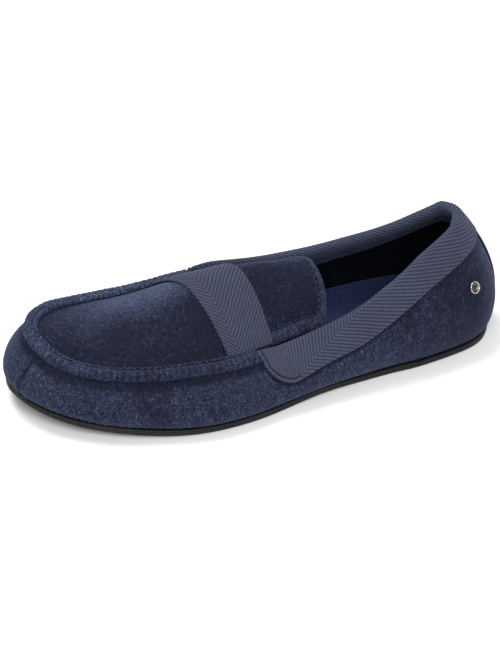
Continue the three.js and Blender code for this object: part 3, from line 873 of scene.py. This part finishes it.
# Edges in section. The sole's is outset and rise from the tread up, with a groove half way. The
# footbed's is rise and inset from its underside up.
SOLE_EDGE = (
    (-0.0014, 0.0001),
    (-0.0006, 0.0004),
    (-0.0001, 0.0009),
    (0.0, 0.0014),
    (0.0, 0.0021),
    (-0.00015, 0.0023),
    (-0.0004, 0.0024),
    (-0.0004, 0.0026),
    (-0.00015, 0.0027),
    (0.0, 0.0029),
    (0.0, 0.0034),
    (-0.0002, 0.0038),
    (-0.0006, SOLE_THICKNESS),
)
FOOTBED_EDGE = (
    (0.0, 0.0008),
    (0.0016, 0.0),
    (0.005, 0.0),
    (0.008, 0.0),
    (0.0093, 0.0005),
    (0.0098, 0.0012),
)
FOOTBED_RIM = 0.0022  # inset of its top edge
TREAD_INSET = 0.0026  # the tread is flat up to this far inside the sole's lip


def outsole():
    """Thin rubber sole: ribbed tread, rounded edge, a groove round its side and a flat top."""
    t = np.arange(900) / 900 * ROWS
    foot, out = feather_line(t)
    base = tread_height(foot[:, 0])
    centre = centre_line(foot)
    shares = np.linspace(0, 1, 44)
    flat = mix(centre[:, None], (foot + out[:, :2] * (SOLE_LIP - TREAD_INSET))[:, None], shares[:, None])
    wave = flat[..., 0] / TREAD_PITCH + 0.35 * np.sin(flat[..., 1] / 0.009)
    wave = np.abs(np.cos(np.pi * wave))
    groove = TREAD_DEPTH * (1 - smooth(wave / 0.45)) * (1 - smooth((shares - 0.9) / 0.1))
    under = np.concatenate([flat, (tread_height(flat[..., 0]) + groove)[..., None]], axis=-1)
    edge = []
    for outset, rise in SOLE_EDGE:
        place = foot + out[:, :2] * (SOLE_LIP + outset)
        edge.append(np.concatenate([place, (base + rise)[:, None]], axis=-1))
    side = np.stack(edge, axis=1)
    back = np.linspace(0, 1, 12)[1:]
    flat = mix(side[:, -1:, :2], centre[:, None], back[:, None])
    top = np.concatenate([flat, (tread_height(flat[..., 0]) + SOLE_THICKNESS)[..., None]], axis=-1)
    grid = np.concatenate([under, side, top], axis=1)
    piece("outsole_rubber", grid, RUBBER, "outsole", ring=True)
    closed = np.append(t, ROWS)
    _, away = feather_line(closed)
    path = wall_point(closed, 0.0, 0.0) + away * (SOLE_LIP - 0.0002)
    path[:, 2] -= 0.0019  # down into the groove round the side
    stitches("sole_stitches", path, away, 0.0042, 0.0026, 0.00022, SOLE_THREAD)


def insole():
    """Padded footbed: soft edge, a shallow seat for the heel and the ball."""
    t = np.arange(480) / 480 * ROWS
    inset = WALL + INSOLE_CLEARANCE
    side = np.stack([rise_point(t, rise, inset + inward) for rise, inward in FOOTBED_EDGE], axis=1)
    rim = rise_point(t, INSOLE_THICKNESS, inset + FOOTBED_RIM)
    share = np.linspace(0, 1, 46)
    top = mix(rim[:, None], centre_line(rim)[:, None], share[:, None])
    inside = smooth(share * 3)
    ripple = 0.0003 * np.sin(top[..., 0] / 0.011) * np.sin(top[..., 1] / 0.009)
    top[..., 2] += soft_sum(top, FOOTBED_SEATS) * inside + ripple * inside
    foot = side[:, :1]
    flat = mix(foot, centre_line(foot[:, 0])[:, None], np.linspace(1, 0, 8)[:-1][:, None])
    grid = np.concatenate([flat, side, top], axis=1)
    pad = piece("footbed", grid, FOOTBED, "insole", ring=True, nap_and_light=pile_lie_and_light(grid, 0.55))


TOE_SEAM = TOE_ROW - 0.5  # where the small seam runs down the toe
TOE_SEAM_TOP = 0.93  # share of the wall's height where it ends
ROW_AT_TOE = 0.0225  # length of a row of the wall's table there


def vamp_relief(t, v, points):
    """How far the outer cloth stands off the wall: folds, the toe's seam, and the pull at the sole."""
    raised = soft_sum(points, VAMP_FOLDS) * np.sin(np.pi * np.clip(v, 0, 1)) ** 0.7
    across = (t - TOE_SEAM) * ROW_AT_TOE
    seam = -0.0009 * hump(across, 0.001) + 0.0006 * hump(across, 0.0045)
    pucker = 0.00018 * np.sin(v * 30) * hump(across, 0.006)
    raised += (seam + pucker) * smooth((TOE_SEAM_TOP - v) / 0.15)
    raised -= 0.0009 * hump(v, 0.035)
    gathers = 0.00022 * np.sin(t * 46) * hump(v - 0.07, 0.06)
    return raised + gathers * smooth((points[..., 0] - 0.2) / 0.03)


def crease_shade(t, v, points):
    """Painted shade in the pile: under the ridge and the binding's hem, along the toe's seam and at the
    sole.
    """
    side = np.where((t > 0) & (t < TOE_ROW), 1, -1)
    ridge = smooth((points[..., 0] - binding_front(side) + 0.004) / 0.004)
    down = (wall_face(t, 1.0) - points)[..., 2]
    shade = 0.75 * hump(down - 0.0022, 0.0016) * ridge
    hem = binding_depth(np.where(t < TOE_ROW, t, t - ROWS))
    steps = np.linalg.norm(np.diff(points[:, ::-1], axis=1), axis=2)
    depth = np.pad(np.cumsum(steps, axis=1), ((0, 0), (1, 0)))[:, ::-1]
    shade += 0.8 * hump(depth - hem - 0.0006, 0.001) * (1 - ridge)
    shade += 0.5 * hump((t - TOE_SEAM) * ROW_AT_TOE, 0.0011) * smooth((TOE_SEAM_TOP - v) / 0.15)
    return shade + 0.35 * hump(v, 0.05)


def upper():
    """Vamp and quarters: the velour skin outside and the ribbed lining inside."""
    t = np.arange(720) / 720 * ROWS
    v = np.linspace(0, 1, 58)
    grid_t, grid_v = np.meshgrid(t, v, indexing="ij")
    plain = wall_face(grid_t, grid_v)
    outside = wall_point(grid_t, grid_v, vamp_relief(grid_t, grid_v, plain))
    back_v = np.linspace(1, 0, 14)
    inside = wall_point(t[:, None], back_v, -SKIN)
    inside[:, -1, 2] = outside[:, 0, 2]
    grid = np.concatenate([outside, inside], axis=1)
    # The pile's lie, with painted light and shade, less the painted shade in the creases
    nap_and_light = pile_lie_and_light(grid)
    nap_and_light[:, : len(v)] -= crease_shade(grid_t, grid_v, plain)
    piece("velour_wall", grid, VELOUR, "upper", ring=True, loop=True, nap_and_light=np.clip(nap_and_light, 0, 1))

    v = np.linspace(0.02, 0.985, 40)
    face = wall_point(t[:, None], v, -WALL)
    behind = wall_point(t[:, None], np.linspace(0.985, 0.02, 8), -SKIN - 0.0002)
    grid = np.concatenate([face, behind], axis=1)
    across = lengths_along(wall_point(t, 0.5, -WALL))
    pattern = np.zeros((*grid.shape[:2], 2))
    pattern[..., 0] = np.round(across[-1] / LINING_PITCH) * (across / across[-1])[:, None]
    piece("ribbed_lining", grid, LINING, "upper", ring=True, loop=True, pattern=pattern)


def facing():
    """Velour strip round the inside. Its upper edge lies over the foot of the binding's inner leg."""
    ends = [side * (TOE_ROW - rows_at(side, binding_front(side) - 0.004)) for side in (-1, 1)]
    t = np.linspace(*ends, 500)
    shares = np.linspace(0, 1, 22)
    depth = np.broadcast_to(BINDING_TURN - FACING_LAP + FACING * shares, (len(t), len(shares)))
    v = wall_depth(t, depth)
    swell = FACING_SWELL * np.sqrt(np.clip(1 - (shares / 0.55 - 1) ** 2, 0.02, 1))
    face = wall_point(t[:, None], v, -(WALL + 0.0004 + swell))
    behind = wall_point(t[:, None], v[:, ::-7], -(WALL + 0.00005))
    grid = np.concatenate([face, behind], axis=1)
    piece("velour_facing", grid, VELOUR, "upper", loop=True, nap_and_light=pile_lie_and_light(grid, 0.3))


def apron_places(front_steps, round_steps):
    """Places along the apron, from the toe to the middle of the tongue's end, close where it turns."""
    front = np.linspace(0, 1, front_steps) ** 1.1
    turn = np.linspace(0, np.pi, round_steps)[1:]
    return np.concatenate([front, 1.5 - 0.5 * np.cos(turn)])


def tongue_distance(points):
    """Distance of points from the edge of the tongue, behind the band."""
    e = np.concatenate([np.linspace(0.5, 1, 300), apron_places(2, 300)[2:]])
    outline = np.concatenate([apron_face(side, e, 0.0)[:, :2] for side in (1, -1)])
    away = np.full(points.shape[:-1], 1.0)
    near = points[..., 0] < BAND_FRONT - BAND_WIDTH + 0.006
    spots = points[near][:, None, :2]
    parts = np.array_split(outline, 16)
    away[near] = np.min([np.linalg.norm(spots - part, axis=2).min(axis=1) for part in parts], axis=0)
    return away


def rim_line(side, e, q, away):
    """Line of stitches beside the tongue's turned edge, from the band to the middle of the end."""
    back = apron_face(side, e, 0.0)[:, 0] < BAND_FRONT - BAND_WIDTH
    rows = np.arange(back.sum())
    away = away[back]
    k = np.argmax(away > TONGUE_RIM + 0.0004, axis=1)
    low, high = away[rows, k - 1], away[rows, k]
    share = mix(q[k - 1], q[k], (TONGUE_RIM + 0.0004 - low) / (high - low))
    return apron_point(side, e[back], share, -0.0002)


def apron():
    """Apron and tongue in one, with soft folds and a turned edge round the tongue."""
    e = apron_places(230, 60)
    q = np.linspace(0, 1, 72) ** 1.15
    grid_e, grid_q = np.meshgrid(e, q, indexing="ij")
    halves, nap_and_light_halves, lines = [], [], []
    for side in (1, -1):
        plain = apron_face(side, grid_e, grid_q)
        away = tongue_distance(plain)
        behind = smooth((BAND_FRONT - BAND_WIDTH - 0.001 - plain[..., 0]) / 0.006)
        swell = np.sqrt(np.clip(1 - (2 * away / TONGUE_RIM - 1) ** 2, 0, 1))
        trough = hump(away - TONGUE_RIM - 0.0003, 0.0006)
        relief = soft_sum(plain, APRON_FOLDS) * smooth(grid_q / 0.25)
        relief += (0.001 * swell - 0.0008 * trough) * behind
        relief -= 0.0007 * hump(grid_q, 0.02)
        top = apron_point(side, grid_e, grid_q, relief)
        under = apron_point(side, e[:, None], np.linspace(0, 1, 12), -APRON_THICKNESS)
        # A low base lie: painted shade over the apron's top. The trough beside the rim gets painted
        # shade; the rim's pile is lighter.
        nap_and_light = pile_lie_and_light(plain, 0.16) + (0.4 * smooth(swell / 0.4) - 0.5 * trough) * behind
        halves.append(np.concatenate([top[:, ::-1], under], axis=1))
        nap_and_light_halves.append(np.concatenate([nap_and_light[:, ::-1], np.full(under.shape[:2], 0.3)], axis=1))
        lines.append(rim_line(side, e, q, away))
    grid, nap_and_light = (np.concatenate([outer, inner[-2:0:-1]], axis=0) for outer, inner in (halves, nap_and_light_halves))
    piece("velour_apron", grid, VELOUR, "apron", ring=True, nap_and_light=np.clip(nap_and_light, 0, 1))
    path = np.concatenate([lines[0], lines[1][-2::-1]])
    upward = np.tile(UP, (len(path), 1))
    stitches("tongue_stitches", path, upward, STITCH_PITCH, 0.0022, 0.00025, NAVY_THREAD)


def moccasin_seam():
    """The raised seam: two soft rolls with a stitched groove between, over the edge of the vamp."""
    ends = [ring_place(side, rows_at(side, binding_front(side) + GAP)) for side in (1, -1)]
    t = np.linspace(*ends, 760)
    side = np.where(t < TOE_ROW, 1, -1)
    e = np.zeros_like(t)
    q = np.zeros_like(t)
    for s in (1, -1):
        e = np.where(side == s, np.abs(TOE_ROW - t) / LAST_ROWS[s], e)
        q = np.where(side == s, trim_share(s, e, 0.0), q)
    top = wall_face(t, 1.0)
    _, out = feather_line(t)
    gone = lengths_along(top)
    inner_foot = np.where((side == 1)[:, None], apron_point(1, e, q, GAP), apron_point(-1, e, q, GAP))
    reach = np.linalg.norm((inner_foot - top)[:, :2], axis=1)
    drop = inner_foot[:, 2] - top[:, 2]
    low = wall_depth(t, np.full((len(t), 1), SEAM_OVERHANG + 0.0006))[:, 0]
    lip = wall_point(t, low, GAP)
    lip_out = np.einsum("ij,ij->i", lip - top, out)
    lip_up = lip[:, 2] - top[:, 2]
    drift = gone + 0.0007 * np.sin(gone / 0.0078) + 0.0004 * np.sin(gone / 0.0031)
    pull = 0.5 + 0.5 * np.cos(2 * np.pi * drift / STITCH_PITCH)
    wobble = 0.0003 * np.sin(gone / 0.0063) + 0.0002 * np.sin(gone / 0.0027 + 1)

    def roll(centre_out, centre_up, width, height, first, last, steps):
        angle = np.radians(np.linspace(first, last, steps))
        across = centre_out[:, None] + width[:, None] * np.cos(angle)
        rise = centre_up[:, None] + height[:, None] * np.sin(angle)
        return across, rise

    def columns(*values):
        return np.stack([np.broadcast_to(value, t.shape) for value in values], axis=1)

    low_out, low_up = np.full_like(t, -0.0004), np.full_like(t, 0.0007)
    width, height = OUTER_ROLL - 0.0003 * pull + wobble, OUTER_ROLL - 0.00025 * pull
    outer_across, outer_rise = roll(low_out, low_up, width, height, -64, 146, 22)
    inner_width = (reach - INNER_ROLL) / 2
    middle = -(INNER_ROLL + inner_width)
    height = INNER_ROLL_HEIGHT - 0.0005 * pull
    inner_across, inner_rise = roll(middle, drop / 2 + 0.0012, inner_width + 0.0002, height, 145, 0, 14)
    inner_across = (2 * middle[:, None] - inner_across)[:, ::-1]
    inner_rise = inner_rise[:, ::-1]
    groove = -SEAM_GROOVE
    groove_across, groove_rise = columns(groove), columns(0.0013 - 0.0005 * pull)
    under_across = columns(-reach, -reach * 0.5, -0.0004, lip_out)
    under_rise = columns(drop, drop * 0.5 + 0.0006, 0.0006, lip_up)
    across = np.concatenate([outer_across, groove_across, inner_across, under_across], axis=1)
    rise = np.concatenate([outer_rise, groove_rise, inner_rise, under_rise], axis=1)
    grid = top[:, None] + out[:, None] * across[..., None] + UP * rise[..., None]
    # Painted shade where the rolls meet the vamp and the apron, and in the stitched groove between them
    shade = np.zeros(grid.shape[1])
    shade[:2] = (0.5, 0.25)  # against the vamp
    shade[20:25] = (0.3, 0.6, 1, 0.6, 0.3)  # in the groove
    shade[35:37] = (0.4, 0.8)  # against the apron
    nap_and_light = np.clip(pile_lie_and_light(grid, 0.6) + 0.3 * (pull - 0.5)[:, None] - shade, 0, 1)
    piece("velour_ridge", grid, VELOUR, "moccasin_seam", loop=True, nap_and_light=nap_and_light)
    path = top + out * groove + UP * (0.0018 - 0.0002 * pull)[:, None]
    upward = np.tile(UP, (len(path), 1))
    stitches("ridge_stitches", path, upward, STITCH_PITCH, 0.0025, 0.0004, NAVY_THREAD)


def instep_band():
    """Herringbone band over the instep. Its ribs fold on a line near the front edge."""
    u = np.linspace(0, 1, 92)
    w = np.linspace(0, 1, 330)
    across = 2 * w - 1
    grid_u, grid_c = np.meshgrid(u, across, indexing="ij")
    e = station_at(BAND_FRONT - BAND_WIDTH * grid_u - BAND_SKEW * grid_c)
    end = np.where(grid_c < 0, trim_share(-1, e, 2 * GAP), trim_share(1, e, 2 * GAP))
    q = mix(1, end, np.abs(grid_c))
    halfway = len(u) // 2
    ways = [apron_point(side, e[halfway], q[halfway]) for side in (-1, 1)]
    line = np.where((across < 0)[:, None], *ways)
    along = lengths_along(line)[None, :]
    start = (-along[0, -1], 0.2 * BAND_WIDTH)
    phase = band_ribs(-along, grid_u * BAND_WIDTH, start)
    edge = np.minimum(grid_u, 1 - grid_u) * BAND_WIDTH
    edge = edge + 0.0003 * (rib(phase) - 0.5)
    body = TAPE_THICKNESS - RIB_DEPTH * (1 - rib(phase))
    thickness = TAPE_GAP + 0.0001 + body * rounded(edge / 0.0011)

    def face(outset):
        outer = apron_point(1, e, q, outset)
        inner = apron_point(-1, e, q, outset)
        return np.where((grid_c >= 0)[..., None], outer, inner)

    top = face(thickness)
    under = face(np.full_like(e, TAPE_GAP))[::-8]
    grid = np.concatenate([top, under], axis=0).transpose(1, 0, 2)
    pattern = np.zeros((*grid.shape[:2], 2))
    pattern[:, : len(u), 0] = phase.T
    piece("herringbone_band", grid, TAPE, "instep_band", loop=True, pattern=pattern)


def binding_depth(t):
    """Depth of the binding's outer leg: round at its front lower corner."""
    side = np.where(t > 0, 1, -1)
    behind = binding_front(side) - wall_face(t, 1.0)[..., 0]
    sag = 0.0035 * hump(behind - 0.012, 0.019)
    return mix(BINDING_NOSE, BINDING_DEPTH + sag, rounded(behind / BINDING_CORNER))


def corner_distance(place, depth, front, across):
    """Distance from the binding's front edge and its round lower corner."""
    corner = np.linspace(0, 0.02, 160)
    corner = np.stack([corner, -np.interp(corner, place, depth)], axis=1)
    nose = np.stack([np.zeros(40), np.linspace(-BINDING_NOSE, 0.01, 40)], axis=1)
    outline = np.concatenate([corner, nose])
    spot = np.stack([np.broadcast_to(front, across.shape), across], axis=-1).reshape(-1, 2)
    near = spot[:, 0] < 0.03
    away = np.full(len(spot), 1.0)
    away[near] = np.linalg.norm(spot[near][:, None] - outline[None], axis=2).min(axis=1)
    return away.reshape(across.shape)


def collar_binding():
    """Herringbone tape folded over the topline, with a smooth turned edge at its front corners."""
    ends = [side * (TOE_ROW - rows_at(side, binding_front(side))) for side in (-1, 1)]
    dense = np.linspace(*ends, 4000)
    gone = lengths_along(wall_face(dense, 1.0))
    total = gone[-1]
    share = np.linspace(0, 1, 1000)
    share = share - 0.006 * np.sin(2 * np.pi * share)
    place = share * total
    t = np.interp(place, gone, dense)
    depth = binding_depth(t)
    leg_steps, turn_steps, inner_steps = 46, 18, 14
    down = depth[:, None] * np.linspace(1, 0, leg_steps + 1)[:-1]
    radius = WALL / 2 + TAPE_GAP + TAPE_THICKNESS
    angle = np.linspace(0, np.pi, turn_steps + 1)
    round_edge = np.broadcast_to(radius * angle, (len(t), turn_steps + 1))
    inner = BINDING_TURN * np.linspace(0, 1, inner_steps + 1)[1:]
    inner = np.broadcast_to(inner, (len(t), inner_steps))
    across = np.concatenate([-down, round_edge, radius * np.pi + inner], axis=1)
    front = np.minimum(place, total - place)[:, None]
    phase = binding_ribs(t, place, across)
    ribs = rib(phase)
    away = corner_distance(place, depth, front, across)
    fading = smooth((0.0185 - front) / 0.004)
    piped = smooth((PIPING - away) / 0.0003) * fading
    groove = hump(away - PIPING - 0.0004, 0.0005) * fading
    hem = across + depth[:, None] + 0.0004 * (ribs - 0.5)
    inner_hem = radius * np.pi + BINDING_TURN - across
    to_hem = np.minimum(hem, inner_hem) / 0.0012
    to_front = np.minimum(away / 0.0009, front / 0.0006 + 0.001)
    body = TAPE_THICKNESS - RIB_DEPTH * (1 - ribs) * (1 - piped) - 0.0008 * groove
    outset = TAPE_GAP + 0.00005 + body * rounded(np.minimum(to_hem, to_front))
    middle = wall_point(t, 1.0, -WALL / 2)
    out = wall_normal(t, np.ones_like(t))
    along = unit(wall_face(t, 1.0) - wall_face(t, 1 - TINY))

    def over_edge(outset, angle):
        sideways = out[:, None] * (outset * np.cos(angle))[..., None]
        upward = along[:, None] * (outset * np.sin(angle))[..., None]
        return middle[:, None] + sideways + upward

    inner_lift = INNER_LIFT * (1 - smooth(front / 0.05)) * (0.72 + 0.28 * smooth(front / 0.014))
    outer_lift = OUTER_LIFT * (1 - smooth(front / 0.016))
    lift = np.where(t[:, None] < 0, inner_lift, outer_lift)
    outer_leg = wall_point(t[:, None], wall_depth(t, down), outset[:, :leg_steps])
    fold = over_edge(WALL / 2 + outset[:, leg_steps : leg_steps + turn_steps + 1], angle)
    fold = fold + UP * (lift * np.sin(angle))[..., None]
    inner_out = outset[:, leg_steps + turn_steps + 1 :]
    inner_leg = wall_point(t[:, None], wall_depth(t, inner), -(WALL + TAPE_GAP / 2 + inner_out))
    front_face = np.concatenate([outer_leg, fold, inner_leg], axis=1)
    few = np.linspace(0, 1, 6)
    back_leg = wall_point(t[:, None], wall_depth(t, depth[:, None] * few[::-1]), TAPE_GAP)
    back_fold = over_edge(WALL / 2 + TAPE_GAP, np.linspace(0, np.pi, 6)[1:-1])
    back_v = wall_depth(t, np.broadcast_to(BINDING_TURN * few, (len(t), 6)))
    back_inner = wall_point(t[:, None], back_v, -(WALL + TAPE_GAP))
    back = np.concatenate([back_leg, back_fold, back_inner], axis=1)
    grid = np.concatenate([front_face, back[:, ::-1]], axis=1)
    pattern = np.zeros((*grid.shape[:2], 2))
    pattern[:, : front_face.shape[1], 0] = phase
    # Painted shade in the groove beside the piping and along the tape's front edge; the piping shows the
    # yarn without ribs
    dark = 1.6 * groove + 1.2 * fading * (1 - smooth(away / 0.0006))
    pattern[:, : front_face.shape[1], 1] = 0.8 * piped - dark
    piece("herringbone_binding", grid, TAPE, "collar_binding", loop=True, pattern=pattern)


def heel_strip():
    """Dark strip up the back of the heel, with a low rib along each edge."""
    half = HEEL_STRIP_WIDTH / 2 / np.linalg.norm(wall_face(1.0, 0.3) - wall_face(0.0, 0.3))
    t = np.linspace(-half, half, 48)
    high = wall_depth(t, np.full((len(t), 1), BINDING_DEPTH - 0.001))
    v = high * np.linspace(0.012, 1, 110)
    edge = (1 - np.abs(t) / half)[:, None] * HEEL_STRIP_WIDTH / 2
    body = HEEL_STRIP_THICKNESS - 0.0004 + 0.0004 * hump(edge - 0.0014, 0.0006)
    raised = GAP + 0.0001 + body * rounded(edge / 0.0009)
    face = wall_point(t[:, None], v, raised + 0 * v)
    behind = wall_point(t[:, None], v[:, ::-10], GAP)
    grid = np.concatenate([face, behind], axis=1)
    piece("heel_strip_rubber", grid, RUBBER, "heel_strip", loop=True)


def heel_rivet():
    """Round rivet with a rolled rim and a low dome."""
    t = np.linspace(0.2, 3, 2000)
    v = wall_height(t, RIVET_ABOVE)
    k = int(np.argmin(np.abs(wall_face(t, v)[:, 0] - RIVET_BACK)))
    seat = wall_point(t[k], v[k], GAP)
    normal = wall_normal(t[k], v[k])
    side = unit(np.cross(normal, UP))
    top = np.cross(side, normal)
    radius, height = 0.94 * RIVET_RADIUS, RIVET_HEIGHT
    rim = 0.13 * radius
    ring = [(0, 0), (radius * 0.9, 0), (radius, height * 0.12), (radius, height * 0.5)]
    for angle in np.radians(np.linspace(20, 170, 12)):
        ring.append((radius - rim * (1 - math.cos(angle)), height * (0.5 + 0.5 * math.sin(angle))))
    ring += [(radius * 0.7, height * 0.3), (0, height * 0.3)]
    dome = [(0, height * 0.31), (radius * 0.64, height * 0.31), (radius * 0.66, height * 0.4)]
    for share in np.linspace(0.9, 0, 8):
        dome.append((radius * 0.64 * share, height * (0.45 + 0.3 * math.cos(share * math.pi / 2))))
    turn = np.arange(64) / 64 * 2 * np.pi
    direction = side * np.cos(turn)[:, None] + top * np.sin(turn)[:, None]
    for name, profile, material in (("rivet_ring", ring, STEEL), ("rivet_dome", dome, DARK_STEEL)):
        across, rise = (np.array(values) for values in zip(*profile))
        grid = seat + direction[:, None] * across[None, :, None] + normal * rise[None, :, None]
        piece(name, grid, material, "heel_rivet", ring=True)


for make in (
    outsole,
    insole,
    upper,
    facing,
    apron,
    moccasin_seam,
    instep_band,
    collar_binding,
    heel_strip,
    heel_rivet,
):
    make()

# Floor, lights and camera
VIEW_YAW = math.radians(27)  # the camera stands on the outer side, turned toward the toe
VIEW_PITCH = math.radians(32.5)
VIEW_ROLL = math.radians(3.5)
VIEW_DISTANCE = 1.47
VIEW_TARGET = np.array((0.1382, 0.0, 0.0304)) + SHIFT
PHOTO_SIZE = (500, 669)
TARGET_PIXEL = (266.8, 310.5)
FOCAL_PIXELS = 2705
SENSOR = 36


def camera():
    yaw, pitch = VIEW_YAW, VIEW_PITCH
    away = np.array((math.sin(yaw) * math.cos(pitch), math.cos(yaw) * math.cos(pitch), math.sin(pitch)))
    right = unit(np.cross(-away, UP))
    top = np.cross(right, -away)
    rolled_right = math.cos(VIEW_ROLL) * right + math.sin(VIEW_ROLL) * top
    rolled_top = math.cos(VIEW_ROLL) * top - math.sin(VIEW_ROLL) * right
    off_right = (TARGET_PIXEL[0] - PHOTO_SIZE[0] / 2) / FOCAL_PIXELS
    off_up = (PHOTO_SIZE[1] / 2 - TARGET_PIXEL[1]) / FOCAL_PIXELS
    forward = unit(-away - off_right * rolled_right - off_up * rolled_top)
    right = unit(rolled_right - forward * (rolled_right @ forward))
    top = np.cross(right, forward)
    lens = bpy.data.cameras.new("camera")
    lens.sensor_width = SENSOR
    lens.lens = FOCAL_PIXELS * SENSOR / max(PHOTO_SIZE)
    lens.clip_end = 50
    made = bpy.data.objects.new("camera", lens)
    bpy.context.scene.collection.objects.link(made)
    turn = np.eye(4)
    turn[:3, 0], turn[:3, 1], turn[:3, 2] = right, top, -forward
    turn[:3, 3] = VIEW_TARGET + away * VIEW_DISTANCE
    made.matrix_world = Matrix(turn.tolist())
    bpy.context.scene.camera = made


def softbox(name, place, target, size, power):
    lamp = bpy.data.lights.new(name, "AREA")
    lamp.shape = "RECTANGLE"
    lamp.size, lamp.size_y = size
    lamp.energy = power
    made = bpy.data.objects.new(name, lamp)
    bpy.context.scene.collection.objects.link(made)
    made.location = place
    made.rotation_euler = (Vector(target) - Vector(place)).to_track_quat("-Z", "Y").to_euler()


def studio():
    material, _, _ = new_material("pale floor", {"Base Color": (0.9, 0.9, 0.9, 1), "Roughness": 0.9})
    mesh = bpy.data.meshes.new("floor")
    half = 12
    corners = [(-half, -half, 0), (half, -half, 0), (half, half, 0), (-half, half, 0)]
    mesh.from_pydata(corners, [], [(0, 1, 2, 3)])
    mesh.materials.append(material)
    floor = bpy.data.objects.new("floor", mesh)
    bpy.context.scene.collection.objects.link(floor)
    world = bpy.data.worlds.new("studio")
    world.use_nodes = True
    background = world.node_tree.nodes["Background"]
    background.inputs["Color"].default_value = (1, 1, 1, 1)
    background.inputs["Strength"].default_value = 0.56
    bpy.context.scene.world = world
    softbox("overhead", (0.3, -0.6, 1.4), (0, 0, 0), (0.8, 0.8), 20)
    softbox("front", (0.4, 1.45, 1.3), (0, 0, 0.03), (1.4, 1.0), 30)
    softbox("heel side", (-1.4, 0.5, 0.9), (0, 0, 0.03), (0.8, 0.8), 4)
    bpy.context.scene.view_settings.view_transform = "Standard"


camera()
studio()

bpy.context.view_layer.update()
